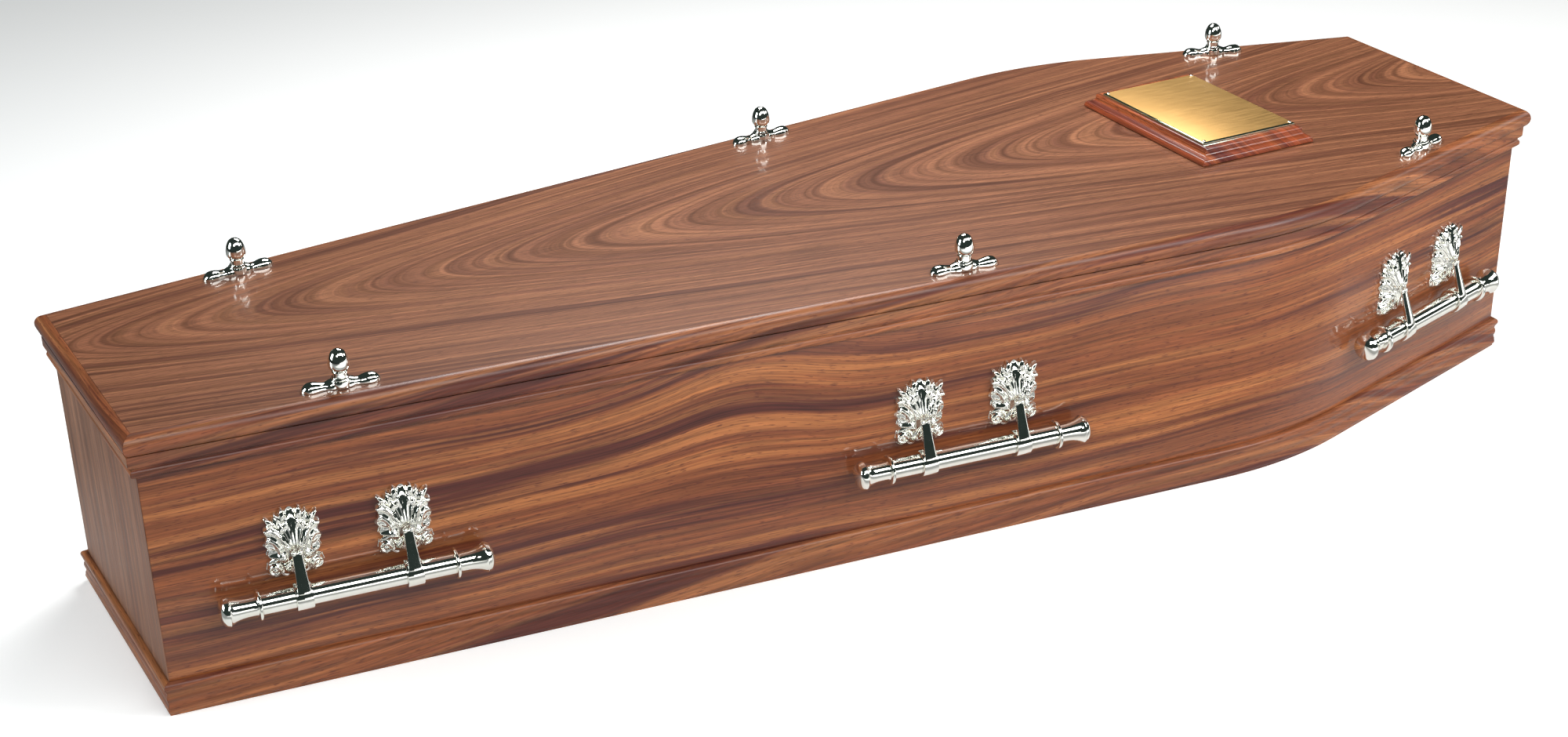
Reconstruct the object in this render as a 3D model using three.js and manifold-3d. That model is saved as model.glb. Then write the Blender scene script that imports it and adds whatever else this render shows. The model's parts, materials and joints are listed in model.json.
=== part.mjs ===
// A shouldered wooden coffin, closed, with six swinging bar handles,
// six wreath holders on the lid and a moulded plaque that carries a blank plate.
//
// Millimetres, +Z up. The origin is on the floor under the middle of the lid's
// length. +X runs to the head end, -X to the foot end, and -Y is the near side.
// Outlines are offsets from the panels' outer face: plus is outwards.

import * as THREE from 'three';
import { mergeVertices } from 'three/addons/utils/BufferGeometryUtils.js';
import Module from 'manifold-3d';

const wasm = await Module();
wasm.setup();

// Body outline
const bodyLength = 1930;
const footWidth = 344;
const shoulderWidth = 640; // where the two straight runs of each side would cross
const headWidth = 356;
const shoulderFromFoot = 1457;
const shoulderBend = 515; // radius of the bend in the side boards
const shoulderSteps = 5;

// Boards and the small gap between neighbouring pieces
const board = 18;
const gap = 0.3;
const closeEnough = 1e-4; // corners nearer than this are one corner

// Lid: a flat board with a half-round lipping along its edge
const lidUnderside = 330;
const lidThickness = 26;
const lidOverhang = 18;
const endOverhangLoss = 5; // the lid reaches this much less past the two ends
const lidTop = lidUnderside + lidThickness;
const lippingRadius = lidThickness / 2;
const lippingWidth = lippingRadius;

const lippingSteps = 8;

// Mouldings glued to the panels. A stroke is an arc about a centre at (out, z),
// swept between two angles in degrees, where 0 points outwards and 90 up.
const baseMoulding = {
  top: 42,
  footOut: 5,
  foot: { out: 1.6, z: 6.4, radius: 5.4, from: -52, to: 22, steps: 2 },
  lowerCove: { out: 11.2, z: 15.2, radius: 6, from: 215, to: 148, steps: 2 },
  ridge: { out: 4.6, z: 21.7, radius: 2.2, from: -20, to: 20, steps: 1 },
  upperCove: { out: 9.8, z: 28, radius: 4.6, from: 222, to: 150, steps: 2 },
  bead: { out: 3, z: 36.3, radius: 5.4, from: -30, to: 90, steps: 4 },
};
const rimMoulding = {
  bead: { out: 2, z: 306.8, radius: 5.3, from: -100, to: 62, steps: 5 },
  quirk: { out: 4.6, z: 313.2 },
  ovolo: { out: 4.8, z: 318.6, radius: 4.4, from: -68, to: 8, steps: 3 },
};

// Plaque and plate on the lid, long side across the coffin. The edge's strokes
// are drawn inwards from the plaque's foot.
const plaque = { x: 556, length: 180, width: 274, height: 20 };
const plaqueEdge = {
  underside: { out: -2.4, z: 0 },
  footLow: { out: 0, z: 1.6 },
  footHigh: { out: 0, z: 3.4 },
  torus: { out: -5.2, z: 4, radius: 4.4, from: 8, to: 84, steps: 2 },
  cove: { out: -6, z: 14.2, radius: 5, from: 238, to: 172, steps: 2 },
  fillet: { out: -11.6, z: 15.6 },
  ovolo: { out: -15, z: 16.2, radius: 3.8, from: 10, to: 90, steps: 2 },
};
const plate = { length: 150, width: 228, thickness: 3, bevel: 1.8, edge: 2 };

// Wreath holders, in line with the side boards below them
const holderInset = 14;
const holderX = [-731, 24, 752];
const holder = {
  length: 90,
  lobeWidth: 18,
  waistWidth: 13,
  height: 10,
  waistHeight: 7.5,
  top: 45,
  knobRadius: 12,
};
// Along the bar, in parts of its half length: where its sections are, and where it swells
const holderStations = [-1, -0.9, -0.7, -0.46, -0.27, 0.27, 0.46, 0.7, 0.9, 1];
const holderSwell = {
  lobeFrom: 0.4,
  lobeTo: 0.72,
  middleFrom: 0.25,
  middleTo: 0.45,
  tipTo: 1.02,
  tipLeast: 0.12,
};
const holderShoulder = 0.7; // below 1 the bar's round back is squarer
const holderArcSteps = 4;
const holderPost = [ // radius and height, from the foot up
  { radius: 11, z: 1.3 },
  { radius: 11, z: 8 },
  { radius: 9, z: 12 },
  { radius: 8, z: 17 },
  { radius: 8.6, z: 20 },
  { radius: holder.knobRadius, z: 25 },
  { radius: holder.knobRadius, z: 31 },
  { radius: 9.4, z: 39 },
  { radius: 5, z: 44.2 },
];

// Handles: where each one sits along a straight run of the side
const footRunHandles = [220.5, 991]; // from the foot corner
const headRunHandle = 279; // from the shoulder crossing towards the head
const handle = {
  barHeight: 127.5,
  barOut: 23,
  barRadius: 12.5,
  barHalf: 159,
  ringAt: 113.5,
  ringHalf: 2,
  ringRadius: 18.2,
  rimRadius: 18,
  armSpacing: 127,
  pivotHeight: 178.5,
  pivotOut: 18.5,
  knuckleRadius: 3.6,
  armTopWidth: 11.5,
  armFootWidth: 16,
  armThickness: 5.4,
  claspRadius: 16.5,
  claspLength: 20,
  beadRadius: 3.2,
  beadSpacing: 7.4,
  beadLift: 2, // the two beads sit this far above the pivot
  beadForward: 1,
  strapBack: { out: 33.2, z: 136.3 }, // back and front corners of the strap's end, inside the clasp
  strapFront: { out: 38, z: 134.3 },
};
const endCap = [ // distance in from the tip, and radius, from the tip to the ring
  { inward: 1.4, radius: 8 },
  { inward: 5.6, radius: 14.6 },
  { inward: 10, radius: handle.rimRadius },
  { inward: 18, radius: 13.6 },
];
const capNeckRadius = 11.4;
const roundSides = 8;
const knuckleSteps = 3;
const beadSides = { around: 5, down: 3 };

// Leaf backplate, measured from its knuckle
const leaf = {
  knuckleHeight: 10.4,
  // Part of the way to the rim, with the height there on the lowest and on the highest leaves
  rings: [
    { reach: 0.3, low: 11, high: 17.6 },
    { reach: 0.68, low: 8.2, high: 12.4 },
    { reach: 1, low: 3, high: 3.4 },
  ],
};
// Right half of its outline from the top down: tips of leaves curl up, notches lie between them
const leafOutline = [
  { x: 0, z: 52, curl: 3 }, // middle tip of the fan
  { x: 5, z: 47.5, curl: 0 },
  { x: 9.5, z: 53, curl: 3.4 },
  { x: 13.5, z: 45, curl: 0 },
  { x: 17.5, z: 48, curl: 3.4 },
  { x: 20.5, z: 40, curl: 0 },
  { x: 30, z: 45, curl: 3 }, // upper corner
  { x: 26, z: 33, curl: 0 },
  { x: 32, z: 31, curl: 2.4 }, // end of the outer band
  { x: 29, z: 21, curl: 0 },
  { x: 33, z: 13, curl: 2.4 }, // end of the inner band
  { x: 29, z: 4, curl: 0 },
  { x: 31, z: -2, curl: 2 }, // lower leaf
  { x: 27, z: -8, curl: 0 },
  { x: 31.5, z: -15, curl: 1.6 }, // scroll
  { x: 33, z: -20.5, curl: 1.6 },
  { x: 30.5, z: -28, curl: 1.6 },
  { x: 23, z: -32, curl: 1.6 },
  { x: 17.5, z: -29, curl: 0 },
  { x: 11, z: -34, curl: 1.6 }, // bottom lobe
  { x: 6, z: -28.5, curl: 0 },
  { x: 0, z: -31.5, curl: 0.6 },
];

const wood = { panel: 0x7d4a34, edge: 0x8a4526, plaque: 0x9c4a24 };

const halfLength = bodyLength / 2;
const shoulderX = shoulderFromFoot - halfLength;
const footCorner = new THREE.Vector2(-halfLength, -footWidth / 2);
const shoulderCorner = new THREE.Vector2(shoulderX, -shoulderWidth / 2);
const headCorner = new THREE.Vector2(halfLength, -headWidth / 2);
const footRun = shoulderCorner.clone().sub(footCorner);
const headRun = headCorner.clone().sub(shoulderCorner);
const footRunAngle = footRun.angle() - 2 * Math.PI; // negative: the near side widens
const headRunAngle = headRun.angle();

const radians = THREE.MathUtils.degToRad;

// Materials

function woodMaterial(color) {
  return new THREE.MeshStandardMaterial({ color, roughness: 0.35, metalness: 0 });
}

const panelWood = woodMaterial(wood.panel);
const edgeWood = woodMaterial(wood.edge);
const plaqueWood = woodMaterial(wood.plaque);
const whiteMetal = new THREE.MeshStandardMaterial({ color: 0xe6e2cf, roughness: 0.12, metalness: 1 });
const goldPlate = new THREE.MeshStandardMaterial({ color: 0xcaa45c, roughness: 0.38, metalness: 1 });

// Plan outline of the near side

function crossing(pointA, directionA, pointB, directionB) {
  const across = directionA.cross(directionB);
  const along = pointB.clone().sub(pointA).cross(directionB) / across;
  return pointA.clone().addScaledVector(directionA, along);
}

function outward(direction) {
  return new THREE.Vector2(direction.y, -direction.x).normalize();
}

// Near side from foot to head, offset outwards, with the bend as an arc.
// endShift moves both end corners in or out along the coffin.
function nearRun(offset, endShift = 0) {
  const end = offset + endShift;
  const across = new THREE.Vector2(0, 1);
  const footStart = footCorner.clone().addScaledVector(outward(footRun), offset);
  const headStart = headCorner.clone().addScaledVector(outward(headRun), offset);
  const foot = crossing(footStart, footRun, new THREE.Vector2(-halfLength - end, 0), across);
  const head = crossing(headStart, headRun, new THREE.Vector2(halfLength + end, 0), across);
  const shoulder = crossing(footStart, footRun, headStart, headRun);
  const radius = shoulderBend + offset;
  const turn = headRunAngle - footRunAngle;
  const tangent = radius * Math.tan(turn / 2);
  const arcStart = shoulder.clone().addScaledVector(footRun.clone().normalize(), -tangent);
  const centre = arcStart.clone().addScaledVector(outward(footRun), -radius);
  const run = [foot];
  for (let step = 0; step <= shoulderSteps; step += 1) {
    const angle = footRunAngle - Math.PI / 2 + (turn * step) / shoulderSteps;
    run.push(new THREE.Vector2(centre.x + radius * Math.cos(angle), centre.y + radius * Math.sin(angle)));
  }
  run.push(head);
  return run;
}

function mirrored(run) {
  return run.map((point) => new THREE.Vector2(point.x, -point.y)).reverse();
}

// One straight end of the coffin between its two mitred corners
function endRun(offset, endShift, atHead) {
  const near = nearRun(offset, endShift);
  const corner = atHead ? near.at(-1) : near[0];
  const run = [new THREE.Vector2(corner.x, corner.y), new THREE.Vector2(corner.x, -corner.y)];
  return atHead ? run : run.reverse();
}

// Draws both ends of a run in a little, so that mitred neighbours stay apart
function easedEnds(run) {
  const eased = run.map((point) => point.clone());
  const first = run[1].clone().sub(run[0]).setLength(gap);
  const last = run.at(-2).clone().sub(run.at(-1)).setLength(gap);
  eased[0].add(first);
  eased.at(-1).add(last);
  return eased;
}

// Section profiles: points of (offset outwards, height), counter-clockwise

function point(out, z) {
  return new THREE.Vector2(out, z);
}

function arc({ out, z, radius, from, to, steps }) {
  const points = [];
  for (let step = 0; step <= steps; step += 1) {
    const angle = radians(from + ((to - from) * step) / steps);
    points.push(point(out + radius * Math.cos(angle), z + radius * Math.sin(angle)));
  }
  return points;
}

function boardProfile(height) {
  return [point(-board, 0), point(0, 0), point(0, height), point(-board, height)];
}

// Rounded foot, two shallow coves with a ridge between them, and a bead on top
function baseMouldingProfile() {
  return [
    point(gap, 0),
    point(baseMoulding.footOut, 0),
    ...arc(baseMoulding.foot),
    ...arc(baseMoulding.lowerCove),
    ...arc(baseMoulding.ridge),
    ...arc(baseMoulding.upperCove),
    ...arc(baseMoulding.bead),
    point(gap, baseMoulding.top - gap),
  ];
}

// Bead against the panel, a narrow quirk, then an ovolo that swells up to the lid
function rimMouldingProfile() {
  const { bead, quirk, ovolo } = rimMoulding;
  const top = lidUnderside - gap;
  return [
    point(gap, bead.z - bead.radius),
    ...arc(bead),
    point(quirk.out, quirk.z),
    ...arc(ovolo),
    point(ovolo.out + ovolo.radius, top),
    point(gap, top),
  ];
}

function lippingProfile() {
  const centre = { out: lidOverhang - lippingWidth, z: lidUnderside + lippingRadius };
  return arc({ ...centre, radius: lippingRadius, from: -90, to: 90, steps: lippingSteps });
}

// Solids

function geometryFrom(positions, triangles) {
  const geometry = new THREE.BufferGeometry();
  geometry.setAttribute('position', new THREE.Float32BufferAttribute(positions, 3));
  geometry.setIndex(triangles);
  geometry.computeVertexNormals();
  return geometry;
}

// Carries a closed profile along a plan run. runAt(offset) gives the run at one
// offset, always with the same number of points, so mitres and bends come out true.
function mouldedRun(profile, runAt) {
  const rails = profile.map((corner) => easedEnds(runAt(corner.x)));
  const stations = rails[0].length;
  const sides = profile.length;
  const positions = [];
  for (let station = 0; station < stations; station += 1) {
    profile.forEach((corner, side) => {
      const place = rails[side][station];
      positions.push(place.x, place.y, corner.y);
    });
  }
  const triangles = [];
  for (let station = 0; station < stations - 1; station += 1) {
    for (let side = 0; side < sides; side += 1) {
      const a = station * sides + side;
      const b = station * sides + ((side + 1) % sides);
      triangles.push(a, a + sides, b, b, a + sides, b + sides);
    }
  }
  const lastRing = (stations - 1) * sides;
  for (const [a, b, c] of THREE.ShapeUtils.triangulateShape(profile, [])) {
    triangles.push(a, b, c, lastRing + a, lastRing + c, lastRing + b);
  }
  return geometryFrom(positions, triangles);
}

// Flat board that fills the whole outline at one offset
function outlineBoard(offset, endShift, bottom, thickness) {
  const near = nearRun(offset, endShift);
  const shape = new THREE.Shape([...near, ...mirrored(near)]);
  const geometry = new THREE.ExtrudeGeometry(shape, { depth: thickness, bevelEnabled: false });
  geometry.translate(0, 0, bottom);
  return geometry;
}

// Rectangular block whose edge follows a profile of (outset, height) from the bottom up
function mouldedBlock(length, width, profile) {
  const positions = [];
  for (const level of profile) {
    const x = length / 2 + level.x;
    const y = width / 2 + level.x;
    positions.push(-x, -y, level.y, x, -y, level.y, x, y, level.y, -x, y, level.y);
  }
  const triangles = [0, 2, 1, 0, 3, 2];
  for (let level = 0; level < profile.length - 1; level += 1) {
    for (let side = 0; side < 4; side += 1) {
      const a = level * 4 + side;
      const b = level * 4 + ((side + 1) % 4);
      triangles.push(a, b, a + 4, b, b + 4, a + 4);
    }
  }
  const top = (profile.length - 1) * 4;
  triangles.push(top, top + 1, top + 2, top, top + 2, top + 3);
  return geometryFrom(positions, triangles);
}

function toSolid(geometry) {
  const bare = geometry.clone();
  bare.deleteAttribute('normal');
  bare.deleteAttribute('uv');
  const merged = mergeVertices(bare, closeEnough);
  const mesh = new wasm.Mesh({
    numProp: 3,
    vertProperties: new Float32Array(merged.attributes.position.array),
    triVerts: new Uint32Array(merged.index.array),
  });
  return new wasm.Manifold(mesh);
}

function toGeometry(solid) {
  const mesh = solid.getMesh();
  return geometryFrom(Array.from(mesh.vertProperties), Array.from(mesh.triVerts));
}

function joined(geometries) {
  const solids = geometries.map(toSolid);
  return toGeometry(solids.reduce((sum, solid) => sum.add(solid)));
}

// A turned piece whose axis lies along X
function latheAlongX(profile) {
  const geometry = new THREE.LatheGeometry(profile, roundSides);
  geometry.rotateZ(-Math.PI / 2);
  return geometry;
}

// Handle parts. Local frame: +X along the side, -Y out from the panel, +Z up,
// with the middle of the handle at x = 0 on the panel's face.

// Swollen casting of leaves that fan out from the knuckle. It stands out most above
// the knuckle, and falls away at the arm and towards the rim, where the tips curl up.
function leafPlateGeometry() {
  const rightHalf = leafOutline.slice(1, -1);
  const leftHalf = rightHalf.map((point) => ({ ...point, x: -point.x }));
  const outline = [leafOutline[0], ...leftHalf, leafOutline.at(-1), ...rightHalf.reverse()];
  const rays = outline.length;
  const positions = [0, -leaf.knuckleHeight, handle.pivotHeight];
  for (const { reach, low, high } of leaf.rings) {
    for (const { x, z, curl } of outline) {
      const upwards = (1 + z / Math.hypot(x, z)) / 2;
      const height = THREE.MathUtils.lerp(low, high, upwards) + curl * reach ** 4;
      positions.push(x * reach, -height, handle.pivotHeight + z * reach);
    }
  }
  const frontCount = positions.length / 3;
  const rimStart = frontCount - rays;
  for (let ray = 0; ray < rays; ray += 1) {
    const rim = (rimStart + ray) * 3;
    positions.push(positions[rim], -gap, positions[rim + 2]);
  }
  positions.push(0, -gap, handle.pivotHeight);
  const backCentre = positions.length / 3 - 1;
  const triangles = [];
  for (let ray = 0; ray < rays; ray += 1) {
    const next = (ray + 1) % rays;
    triangles.push(0, 1 + ray, 1 + next);
    for (let ring = 0; ring < leaf.rings.length; ring += 1) {
      const inner = 1 + ring * rays;
      const outer = inner + rays;
      triangles.push(inner + ray, outer + ray, inner + next, inner + next, outer + ray, outer + next);
    }
    triangles.push(backCentre, frontCount + next, frontCount + ray);
  }
  return geometryFrom(positions, triangles);
}

// Flat strap that hangs from its knuckle and widens down to a clasp round the bar
function armGeometry() {
  const half = handle.armThickness / 2;
  const knuckle = { out: handle.pivotOut, z: handle.pivotHeight };
  const back = handle.strapBack;
  const front = handle.strapFront;
  const side = new THREE.Shape();
  side.moveTo(-back.out, back.z);
  side.lineTo(-(knuckle.out - half), knuckle.z);
  side.absarc(-knuckle.out, knuckle.z, handle.knuckleRadius, 0, Math.PI, false);
  side.lineTo(-front.out, front.z);
  const flat = { depth: 1, bevelEnabled: false, curveSegments: knuckleSteps };
  const strap = new THREE.ExtrudeGeometry(side, flat);
  // The section lies in the YZ plane, and its width grows towards the bar
  const place = strap.attributes.position;
  for (let i = 0; i < place.count; i += 1) {
    const y = place.getX(i);
    const z = place.getY(i);
    const fall = (handle.pivotHeight - z) / (handle.pivotHeight - front.z);
    const widening = THREE.MathUtils.clamp(fall, 0, 1);
    const width = THREE.MathUtils.lerp(handle.armTopWidth, handle.armFootWidth, widening);
    place.setXYZ(i, (place.getZ(i) - 0.5) * width, y, z);
  }
  const outer = handle.claspRadius;
  const inner = handle.barRadius + gap;
  const length = handle.claspLength / 2;
  const section = [
    new THREE.Vector2(inner, -length),
    new THREE.Vector2(outer, -length),
    new THREE.Vector2(outer, length),
    new THREE.Vector2(inner, length),
    new THREE.Vector2(inner, -length),
  ];
  const clasp = latheAlongX(section);
  clasp.translate(0, -handle.barOut, handle.barHeight);
  const beads = [-1, 1].map((sideways) => {
    const bead = new THREE.SphereGeometry(handle.beadRadius, beadSides.around, beadSides.down);
    const forward = -handle.pivotOut - handle.beadForward;
    bead.translate((sideways * handle.beadSpacing) / 2, forward, handle.pivotHeight + handle.beadLift);
    return bead;
  });
  return joined([strap, clasp, ...beads]);
}

// Round bar with a thin ring and a flared, domed cap at each end
function barGeometry() {
  const ringOuter = handle.ringAt + handle.ringHalf;
  const ringInner = handle.ringAt - handle.ringHalf;
  const right = [
    new THREE.Vector2(0, handle.barHalf),
    ...endCap.map(({ inward, radius }) => new THREE.Vector2(radius, handle.barHalf - inward)),
    new THREE.Vector2(capNeckRadius, ringOuter),
    new THREE.Vector2(handle.ringRadius, ringOuter),
    new THREE.Vector2(handle.ringRadius, ringInner),
    new THREE.Vector2(handle.barRadius, ringInner),
  ];
  const left = right.map((corner) => new THREE.Vector2(corner.x, -corner.y));
  const geometry = latheAlongX([...left, ...right.reverse()]);
  geometry.translate(0, -handle.barOut, handle.barHeight);
  return geometry;
}

// Wreath holder. Local frame: +X along the lid's edge, foot at z = 0.

// Low bar with two rounded lobes and a waist beside the middle block
function holderBarGeometry() {
  const { lerp, smoothstep } = THREE.MathUtils;
  const half = holder.length / 2;
  const positions = [];
  for (const station of holderStations) {
    const reach = Math.abs(station);
    const lobe = smoothstep(reach, holderSwell.lobeFrom, holderSwell.lobeTo);
    const middle = 1 - smoothstep(reach, holderSwell.middleFrom, holderSwell.middleTo);
    const tip = 1 - smoothstep(reach, holderSwell.lobeTo, holderSwell.tipTo);
    const rounding = Math.sqrt(Math.max(holderSwell.tipLeast, tip));
    const swell = Math.max(lobe, middle);
    const width = lerp(holder.waistWidth, holder.lobeWidth, swell) * rounding;
    const height = lerp(holder.waistHeight, holder.height, swell) * rounding;
    for (let step = 0; step <= holderArcSteps; step += 1) {
      const angle = (Math.PI * step) / holderArcSteps;
      const y = (Math.cos(angle) * width) / 2;
      positions.push(station * half, y, gap + Math.sin(angle) ** holderShoulder * height);
    }
  }
  const around = holderArcSteps + 1;
  const triangles = [];
  for (let station = 0; station < holderStations.length - 1; station += 1) {
    for (let side = 0; side < around; side += 1) {
      const a = station * around + side;
      const b = station * around + ((side + 1) % around);
      triangles.push(a, b, a + around, b, b + around, a + around);
    }
  }
  const last = (holderStations.length - 1) * around;
  for (let side = 1; side < around - 1; side += 1) {
    triangles.push(0, side + 1, side, last, last + side, last + side + 1);
  }
  return geometryFrom(positions, triangles);
}

// Stepped collar, short neck and acorn knob
function holderPostGeometry() {
  const profile = [
    new THREE.Vector2(0, holderPost[0].z),
    ...holderPost.map(({ radius, z }) => new THREE.Vector2(radius, z)),
    new THREE.Vector2(0, holder.top),
  ];
  const geometry = new THREE.LatheGeometry(profile, roundSides);
  geometry.rotateX(Math.PI / 2);
  return geometry;
}

// Assembly

const coffin = new THREE.Group();
coffin.name = 'wooden_coffin';

function addPiece(parent, name, geometry, material) {
  const mesh = new THREE.Mesh(geometry, material);
  mesh.name = name;
  parent.add(mesh);
}

// The same section along both sides and both ends, mitred at the corners
function addSurround(prefix, profile, endShift, material) {
  const near = (offset) => nearRun(offset, endShift);
  const far = (offset) => mirrored(nearRun(offset, endShift));
  addPiece(coffin, `${prefix}_near`, mouldedRun(profile, near), material);
  addPiece(coffin, `${prefix}_far`, mouldedRun(profile, far), material);
  const foot = (offset) => endRun(offset, endShift, false);
  const head = (offset) => endRun(offset, endShift, true);
  addPiece(coffin, `${prefix}_foot`, mouldedRun(profile, foot), material);
  addPiece(coffin, `${prefix}_head`, mouldedRun(profile, head), material);
}

addPiece(coffin, 'bottom_board', outlineBoard(-board - gap, 0, 0, board), panelWood);
addSurround('panel', boardProfile(lidUnderside - gap), 0, panelWood);
addSurround('base_moulding', baseMouldingProfile(), 0, edgeWood);
addSurround('rim_moulding', rimMouldingProfile(), 0, edgeWood);
const lidInner = lidOverhang - lippingWidth - gap;
const lidBoard = outlineBoard(lidInner, -endOverhangLoss, lidUnderside, lidThickness);
addPiece(coffin, 'lid_board', lidBoard, panelWood);
addSurround('lid_lipping', lippingProfile(), -endOverhangLoss, edgeWood);

function addPlaque() {
  const group = new THREE.Group();
  group.position.set(plaque.x, 0, lidTop + gap);
  coffin.add(group);
  const { underside, footLow, footHigh, torus, cove, fillet, ovolo } = plaqueEdge;
  const edge = [
    point(underside.out, underside.z),
    point(footLow.out, footLow.z),
    point(footHigh.out, footHigh.z),
    ...arc(torus),
    ...arc(cove),
    point(fillet.out, fillet.z),
    ...arc(ovolo),
  ];
  addPiece(group, 'plaque', mouldedBlock(plaque.length, plaque.width, edge), plaqueWood);
  const plateBottom = plaque.height + gap;
  const plateTop = plateBottom + plate.thickness;
  const plateEdge = [
    point(0, plateBottom),
    point(0, plateBottom + plate.edge),
    point(-plate.bevel, plateTop),
  ];
  addPiece(group, 'plate', mouldedBlock(plate.length, plate.width, plateEdge), goldPlate);
}

addPlaque();

// Half the coffin's width at a place along it, from the straight runs
function halfWidthAt(x) {
  const run = x < shoulderX ? footRun : headRun;
  const start = x < shoulderX ? footCorner : shoulderCorner;
  return Math.abs(start.y + ((x - start.x) * run.y) / run.x);
}

function addHolders() {
  const geometry = joined([holderBarGeometry(), holderPostGeometry()]);
  holderX.forEach((x, index) => {
    const angle = x < shoulderX ? footRunAngle : headRunAngle;
    for (const [side, sign] of [['near', -1], ['far', 1]]) {
      const group = new THREE.Group();
      group.position.set(x, sign * (halfWidthAt(x) - holderInset / Math.cos(angle)), lidTop);
      group.rotation.z = sign < 0 ? angle : Math.PI - angle;
      coffin.add(group);
      addPiece(group, `wreath_holder_${side}_${index + 1}`, geometry, whiteMetal);
    }
  });
}

addHolders();

function addHandle(name, x, y, angle, pieces) {
  const group = new THREE.Group();
  group.position.set(x, y, 0);
  group.rotation.z = angle;
  coffin.add(group);
  addPiece(group, `${name}_bar`, pieces.bar, whiteMetal);
  [-1, 1].forEach((sideways, index) => {
    const half = new THREE.Group();
    half.position.x = (sideways * handle.armSpacing) / 2;
    group.add(half);
    addPiece(half, `${name}_leaf_plate_${index + 1}`, pieces.leafPlate, whiteMetal);
    addPiece(half, `${name}_arm_${index + 1}`, pieces.arm, whiteMetal);
  });
}

function addHandles() {
  const pieces = { bar: barGeometry(), leafPlate: leafPlateGeometry(), arm: armGeometry() };
  const onFootRun = { start: footCorner, run: footRun, angle: footRunAngle };
  const places = footRunHandles.map((along) => ({ ...onFootRun, along }));
  places.push({ start: shoulderCorner, run: headRun, angle: headRunAngle, along: headRunHandle });
  places.forEach(({ start, run, angle, along }, index) => {
    const middle = start.clone().addScaledVector(run.clone().normalize(), along);
    addHandle(`handle_near_${index + 1}`, middle.x, middle.y, angle, pieces);
    addHandle(`handle_far_${index + 1}`, middle.x, -middle.y, Math.PI - angle, pieces);
  });
}

addHandles();

export default coffin;
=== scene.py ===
# %% [markdown]
# This lesson dresses a shouldered wooden coffin. A imported model gives the sizes and the places of all its
# parts. Each part is then modelled again with Blender's own tools, at the same place, with the fine shape
# and the finish that a plain solid doesn't have.
#
# The frame is loaded first.

import json
import math

import bpy
from mathutils import Matrix, Vector


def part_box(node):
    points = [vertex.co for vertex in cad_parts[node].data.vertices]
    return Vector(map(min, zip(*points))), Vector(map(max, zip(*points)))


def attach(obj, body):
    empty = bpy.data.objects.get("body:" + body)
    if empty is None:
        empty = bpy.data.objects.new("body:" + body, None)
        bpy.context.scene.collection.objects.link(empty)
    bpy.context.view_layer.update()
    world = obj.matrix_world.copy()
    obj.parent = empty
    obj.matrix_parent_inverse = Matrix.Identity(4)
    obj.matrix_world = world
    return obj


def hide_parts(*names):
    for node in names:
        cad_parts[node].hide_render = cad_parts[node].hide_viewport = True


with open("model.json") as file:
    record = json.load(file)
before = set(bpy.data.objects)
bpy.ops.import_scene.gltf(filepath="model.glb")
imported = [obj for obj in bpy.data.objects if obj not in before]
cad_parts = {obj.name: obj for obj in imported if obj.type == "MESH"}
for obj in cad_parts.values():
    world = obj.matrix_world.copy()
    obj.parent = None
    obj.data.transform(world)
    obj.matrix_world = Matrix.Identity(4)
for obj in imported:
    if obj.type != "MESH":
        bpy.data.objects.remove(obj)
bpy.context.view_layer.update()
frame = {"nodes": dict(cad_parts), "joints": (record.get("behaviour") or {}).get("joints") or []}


# %% [markdown]
# The camera stands at eye height off the near corner of the foot end, and looks down at the lid. Upright
# edges lean together only a little in the photograph, as they do when a picture is cut from the upper part
# of a taller one. A small lens shift repeats part of that cut, so the corners stay nearly as upright.

# %% Set the camera
IMAGE_WIDTH = 2000
IMAGE_HEIGHT = 940
FOCAL_PIXELS = 3243.5
CENTRE_PIXEL = (1000.4, 670.0)
CAMERA_PLACE = (-1.4784, -2.6333, 1.5643)
CAMERA_AZIMUTH = math.radians(-27.80)
CAMERA_ELEVATION = math.radians(29.00)
CAMERA_ROLL = math.radians(-1.27)
SENSOR_WIDTH = 36.0


def add_camera():
    lens = bpy.data.cameras.new("photo_camera")
    lens.sensor_width = SENSOR_WIDTH
    lens.lens = SENSOR_WIDTH * FOCAL_PIXELS / IMAGE_WIDTH
    lens.shift_x = (IMAGE_WIDTH / 2 - CENTRE_PIXEL[0]) / IMAGE_WIDTH
    lens.shift_y = (CENTRE_PIXEL[1] - IMAGE_HEIGHT / 2) / IMAGE_WIDTH
    camera = bpy.data.objects.new("photo_camera", lens)
    bpy.context.collection.objects.link(camera)
    around = Matrix.Rotation(CAMERA_AZIMUTH, 4, "Z")
    tilt = Matrix.Rotation(math.pi / 2 - CAMERA_ELEVATION, 4, "X")
    roll = Matrix.Rotation(CAMERA_ROLL, 4, "Z")
    camera.matrix_world = Matrix.Translation(CAMERA_PLACE) @ around @ tilt @ roll
    return camera


bpy.context.scene.camera = add_camera()
print("camera lens", round(bpy.context.scene.camera.data.lens, 2), "mm")

# %% [markdown]
# Polished fittings show what stands around them, so the studio matters as much as the metal. The room is
# dark. Very low lights in front and beyond the head end carry the pale floor on to the horizon, which makes
# the lower half of each handle bar white. High ones draw the thin line near the top of the bar, and the dark
# room between low and high gives the black stripe. The light over the lid hangs where the panels hide it
# from the handles. Small lights at the front left and right, and a cool one at the foot end, lift the
# shadows.

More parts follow.
